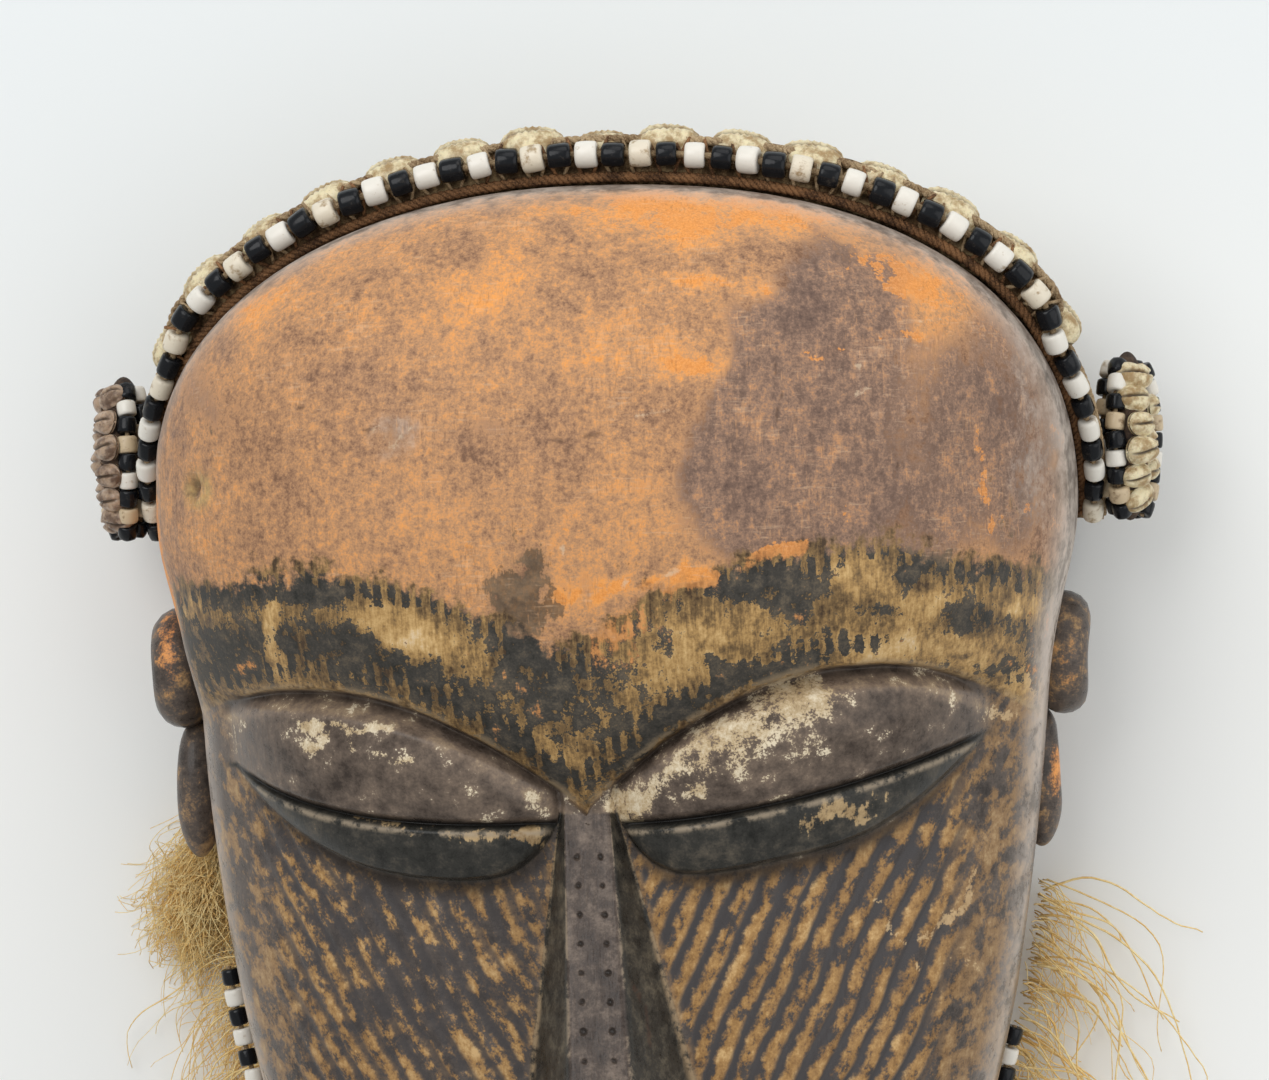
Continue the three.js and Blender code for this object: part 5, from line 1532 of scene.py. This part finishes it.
def build_lobe(side):
    """A stuffed pad with strings of beads and small shells sewn along it."""
    offset, y, z = LOBE_PLACE
    place = np.array([side * (half_width(np.array([y]), side)[0] + offset), y, z])
    half = np.array(LOBE_HALF)
    u, v = np.meshgrid(np.linspace(0, math.pi, 25), full_turn(32), indexing="ij")
    pad = np.stack([0.8 * half[0] * np.sin(u) * np.cos(v), -0.97 * half[1] * np.cos(u),
                    0.86 * half[2] * np.sin(u) * np.sin(v)], axis=-1)
    shape = Shape().add(place + pad, [grid_faces(25, 32, True)], 3)
    rng = np.random.default_rng(101 + side)
    for kind, degrees, size in LOBE_STRINGS:
        turn = math.radians(degrees)
        along = np.linspace(-0.9, 0.84, 40)
        round_ = np.sqrt(1 - along ** 2)
        points = place + np.stack([side * half[0] * round_ * math.cos(turn), half[1] * along,
                                   half[2] * round_ * math.sin(turn)], axis=-1)
        points += rng.normal(0, 0.12, 3)
        line = Line(points)
        if kind == "beads":
            string_of_beads(shape, line, 2 * size - 0.3, 2 * size - 0.8, size, [1, 4, 1, 0],
                            102 + degrees + side)
            shape.add(*tube(points, 0.6, 5), 2)
        else:
            count = int(line.total / (2 * size))
            for t in (np.arange(count) + 0.5) / count:
                centre = line.at(t) + rng.normal(0, 0.4, 3)
                normal = unit((centre - place) / half ** 2)
                across_lobe = np.cross(normal, line.along(t))
                put_cowrie(shape, (1.4 * size, size, 0.9 * size), centre - normal * 1.5, across_lobe,
                           normal, rng, 5)
    name = "left" if side < 0 else "right"
    shells = SMOKED_SHELL if side < 0 else SHELL
    lobe = piece(f"lobe_{name}", shape, [WHITE_GLASS, BLACK_GLASS, THREAD, PAD, CREAM_GLASS, shells],
                 [f"temple_lobe_{name}"])


# Raffia

RAFFIA_REACH = (130.0, 238.0)
TUFT_PLACE = (-99.5, -73, 7)
TUFT_STRANDS = 1000


def strand(rng, root, out, down, length, curl, steps=20):
    """One loose fibre: it leaves its root outward, turns down the mask and sinks to the ground."""
    heading = unit(out * rng.uniform(0.5, 1.6) + rng.normal(0, 0.3, 3) * np.array([1, 1, 0.3]))
    t = np.linspace(0, 1, steps)
    bend = np.minimum(1, t * rng.uniform(0.8, 2.2))[:, None]
    course = unit(lerp(heading, unit(np.array(down)), bend))
    side = np.array([-course[steps // 2, 1], course[steps // 2, 0], 0.0])
    phase, waves = rng.uniform(0, 6.3), rng.uniform(0.4, 1.5)
    sway = rng.uniform(0.3, 1) * curl * np.sin(phase + 2 * math.pi * waves * t) * t
    kinks = 0.25 * np.cumsum(rng.normal(0, 1, steps)) * math.sqrt(length / steps)
    points = root + np.cumsum(course, axis=0) * length / steps + (sway + 0.3 * kinks)[:, None] * side
    rest = rng.uniform(0.5, 6)
    points[:, 2] = rest + (root[2] - rest) * (1 - t) ** 1.5 + rng.uniform(0, 6) * np.sin(math.pi * t)
    return np.clip(points, [-RAFFIA_REACH[0], -RAFFIA_REACH[1], 0.4], [RAFFIA_REACH[0], 0, 40])


def build_fringe(start, end, strands, lengths, curl, down, thick, seed, shape=None):
    rng = np.random.default_rng(seed)
    line = jaw_line(-66, -66)
    shape = shape or Shape()
    for _ in range(strands):
        t = np.array(rng.uniform(start, end))
        out = line.out(t)
        root = line.at(t) + out * rng.uniform(0.4, 2.4)
        root[2] = rng.uniform(2, 12)
        points = strand(rng, root, out, down, rng.uniform(*lengths), curl)
        shape.add(*tube(points, np.linspace(thick, 0.5 * thick, len(points)) * rng.uniform(0.6, 1.3), 4), 0)
    return shape


def build_raffia():
    right = build_fringe(0.035, 0.365, 84, (22, 62), 8.0, (0.3, -1, 0), 0.3, 111)
    build_fringe(0.035, 0.365, 240, (8, 26), 4.0, (0.2, -1, 0), 0.17, 115, right)
    piece("raffia_fringe_right", right, [RAFFIA], ["raffia_right"])
    chin = build_fringe(0.365, 0.635, 220, (10, 20), 1.5, (0, -1, 0), 0.24, 112)
    piece("raffia_fringe_chin", chin, [RAFFIA], ["raffia_chin"])
    left = build_fringe(0.635, 0.93, 160, (18, 46), 6.0, (-0.35, -1, 0), 0.2, 113)
    build_fringe(0.7, 0.93, 420, (8, 30), 5.0, (-0.1, -1, 0), 0.13, 116, left)
    rng = np.random.default_rng(114)
    for _ in range(TUFT_STRANDS):
        t = np.linspace(0, 1, 16)
        root = np.array(TUFT_PLACE) + rng.normal(0, 1, 3) * np.array([2.2, 6, 3])
        lock = rng.integers(0, 5)
        lean = unit(np.array([-0.75 + 0.14 * lock, -1, 0]) + rng.normal(0, 0.26, 3))
        phases, speeds = rng.uniform(0, 6.3, 3), rng.uniform(3, 13, 3)
        wander = np.stack([np.sin(speeds[k] * t + phases[k]) - np.sin(phases[k]) for k in range(3)], axis=-1)
        points = (root + rng.uniform(8, 25) * t[:, None] * lean
                  + rng.uniform(0.8, 3.2) * wander * np.array([1, 1, 0.7]))
        points[:, 2] = np.maximum(points[:, 2] - 2 * t, 0.4)
        points[:, 0] = np.maximum(points[:, 0], -RAFFIA_REACH[0])
        left.add(*tube(points, 0.1, 3), 0)
    piece("raffia_fringe_left", left, [RAFFIA], ["raffia_left"])


build_cap()
build_binding()
build_hairline_beads()
build_jaw_beads()
build_cowries()
for temple in (-1, 1):
    build_lobe(temple)
build_raffia()


# Floor, light and camera

def build_floor():
    """A pale tabletop, a little darker past the crown."""
    mesh = bpy.data.meshes.new("floor")
    mesh.from_pydata([(-4, -4, 0), (4, -4, 0), (4, 4, 0), (-4, 4, 0)], [], [(0, 1, 2, 3)])
    floor = bpy.data.objects.new("floor", mesh)
    bpy.context.scene.collection.objects.link(floor)
    s = Shader("floor")
    tone = s.noise(60, 2)
    places = s.node("TexCoord").outputs["Object"]
    parts = s.node("SeparateXYZ")
    s.tree.links.new(places, parts.inputs[0])
    beyond = s.step(Wire(s, parts.outputs[1]), 0.05, 0.22)
    colour = s.mix(tone, (0.895, 0.9, 0.88), (0.91, 0.915, 0.895))
    colour = s.mix(beyond, colour, (0.815, 0.845, 0.85))
    s.finish(Base_Color=colour, Roughness=0.7, Specular_IOR_Level=0.2)
    mesh.materials.append(s.material)


LIGHTS_AIM = (0, 0.02, 0.05)


def build_light(name, place, size, power):
    data = bpy.data.lights.new(name, "AREA")
    data.shape = "DISK"
    data.size = size
    data.energy = power
    light = bpy.data.objects.new(name, data)
    light.location = place
    light.rotation_euler = (Vector(LIGHTS_AIM) - Vector(place)).to_track_quat("-Z", "Y").to_euler()
    bpy.context.scene.collection.objects.link(light)


def build_camera():
    """Looks down on the mask as the photograph looks at it: a little from its right side."""
    distance, yaw, roll = 900.0, math.radians(5.6), math.radians(1.2)
    millimetres_per_pixel, picture_width = 0.224, 1269
    target = np.array([4.0, 0.0, 40.0])
    back = np.array([math.sin(yaw), 0, math.cos(yaw)])
    level = np.array([math.cos(yaw), 0, -math.sin(yaw)])
    upright = np.array([0.0, 1, 0])
    right = level * math.cos(roll) - upright * math.sin(roll)
    up = upright * math.cos(roll) + level * math.sin(roll)
    data = bpy.data.cameras.new("camera")
    data.sensor_width = 36
    data.lens = 36 * distance / (millimetres_per_pixel * picture_width)
    camera = bpy.data.objects.new("camera", data)
    place = (target + distance * back) * 0.001 + SHIFT
    camera.matrix_world = Matrix([[right[i], up[i], back[i], place[i]] for i in range(3)] + [[0, 0, 0, 1]])
    bpy.context.scene.collection.objects.link(camera)
    bpy.context.scene.camera = camera


build_floor()
build_light("key", (-0.6, 0.7, 1.3), 1.2, 10)
build_light("fill", (1.1, 0.1, 0.9), 1.6, 6)
build_light("top", (0.2, 1.2, 0.7), 0.9, 2.5)
world = bpy.data.worlds.new("room")
world.use_nodes = True
world.node_tree.nodes["Background"].inputs["Color"].default_value = (0.97, 0.99, 1, 1)
world.node_tree.nodes["Background"].inputs["Strength"].default_value = 0.54
bpy.context.scene.world = world
bpy.context.scene.view_settings.view_transform = "Standard"
build_camera()
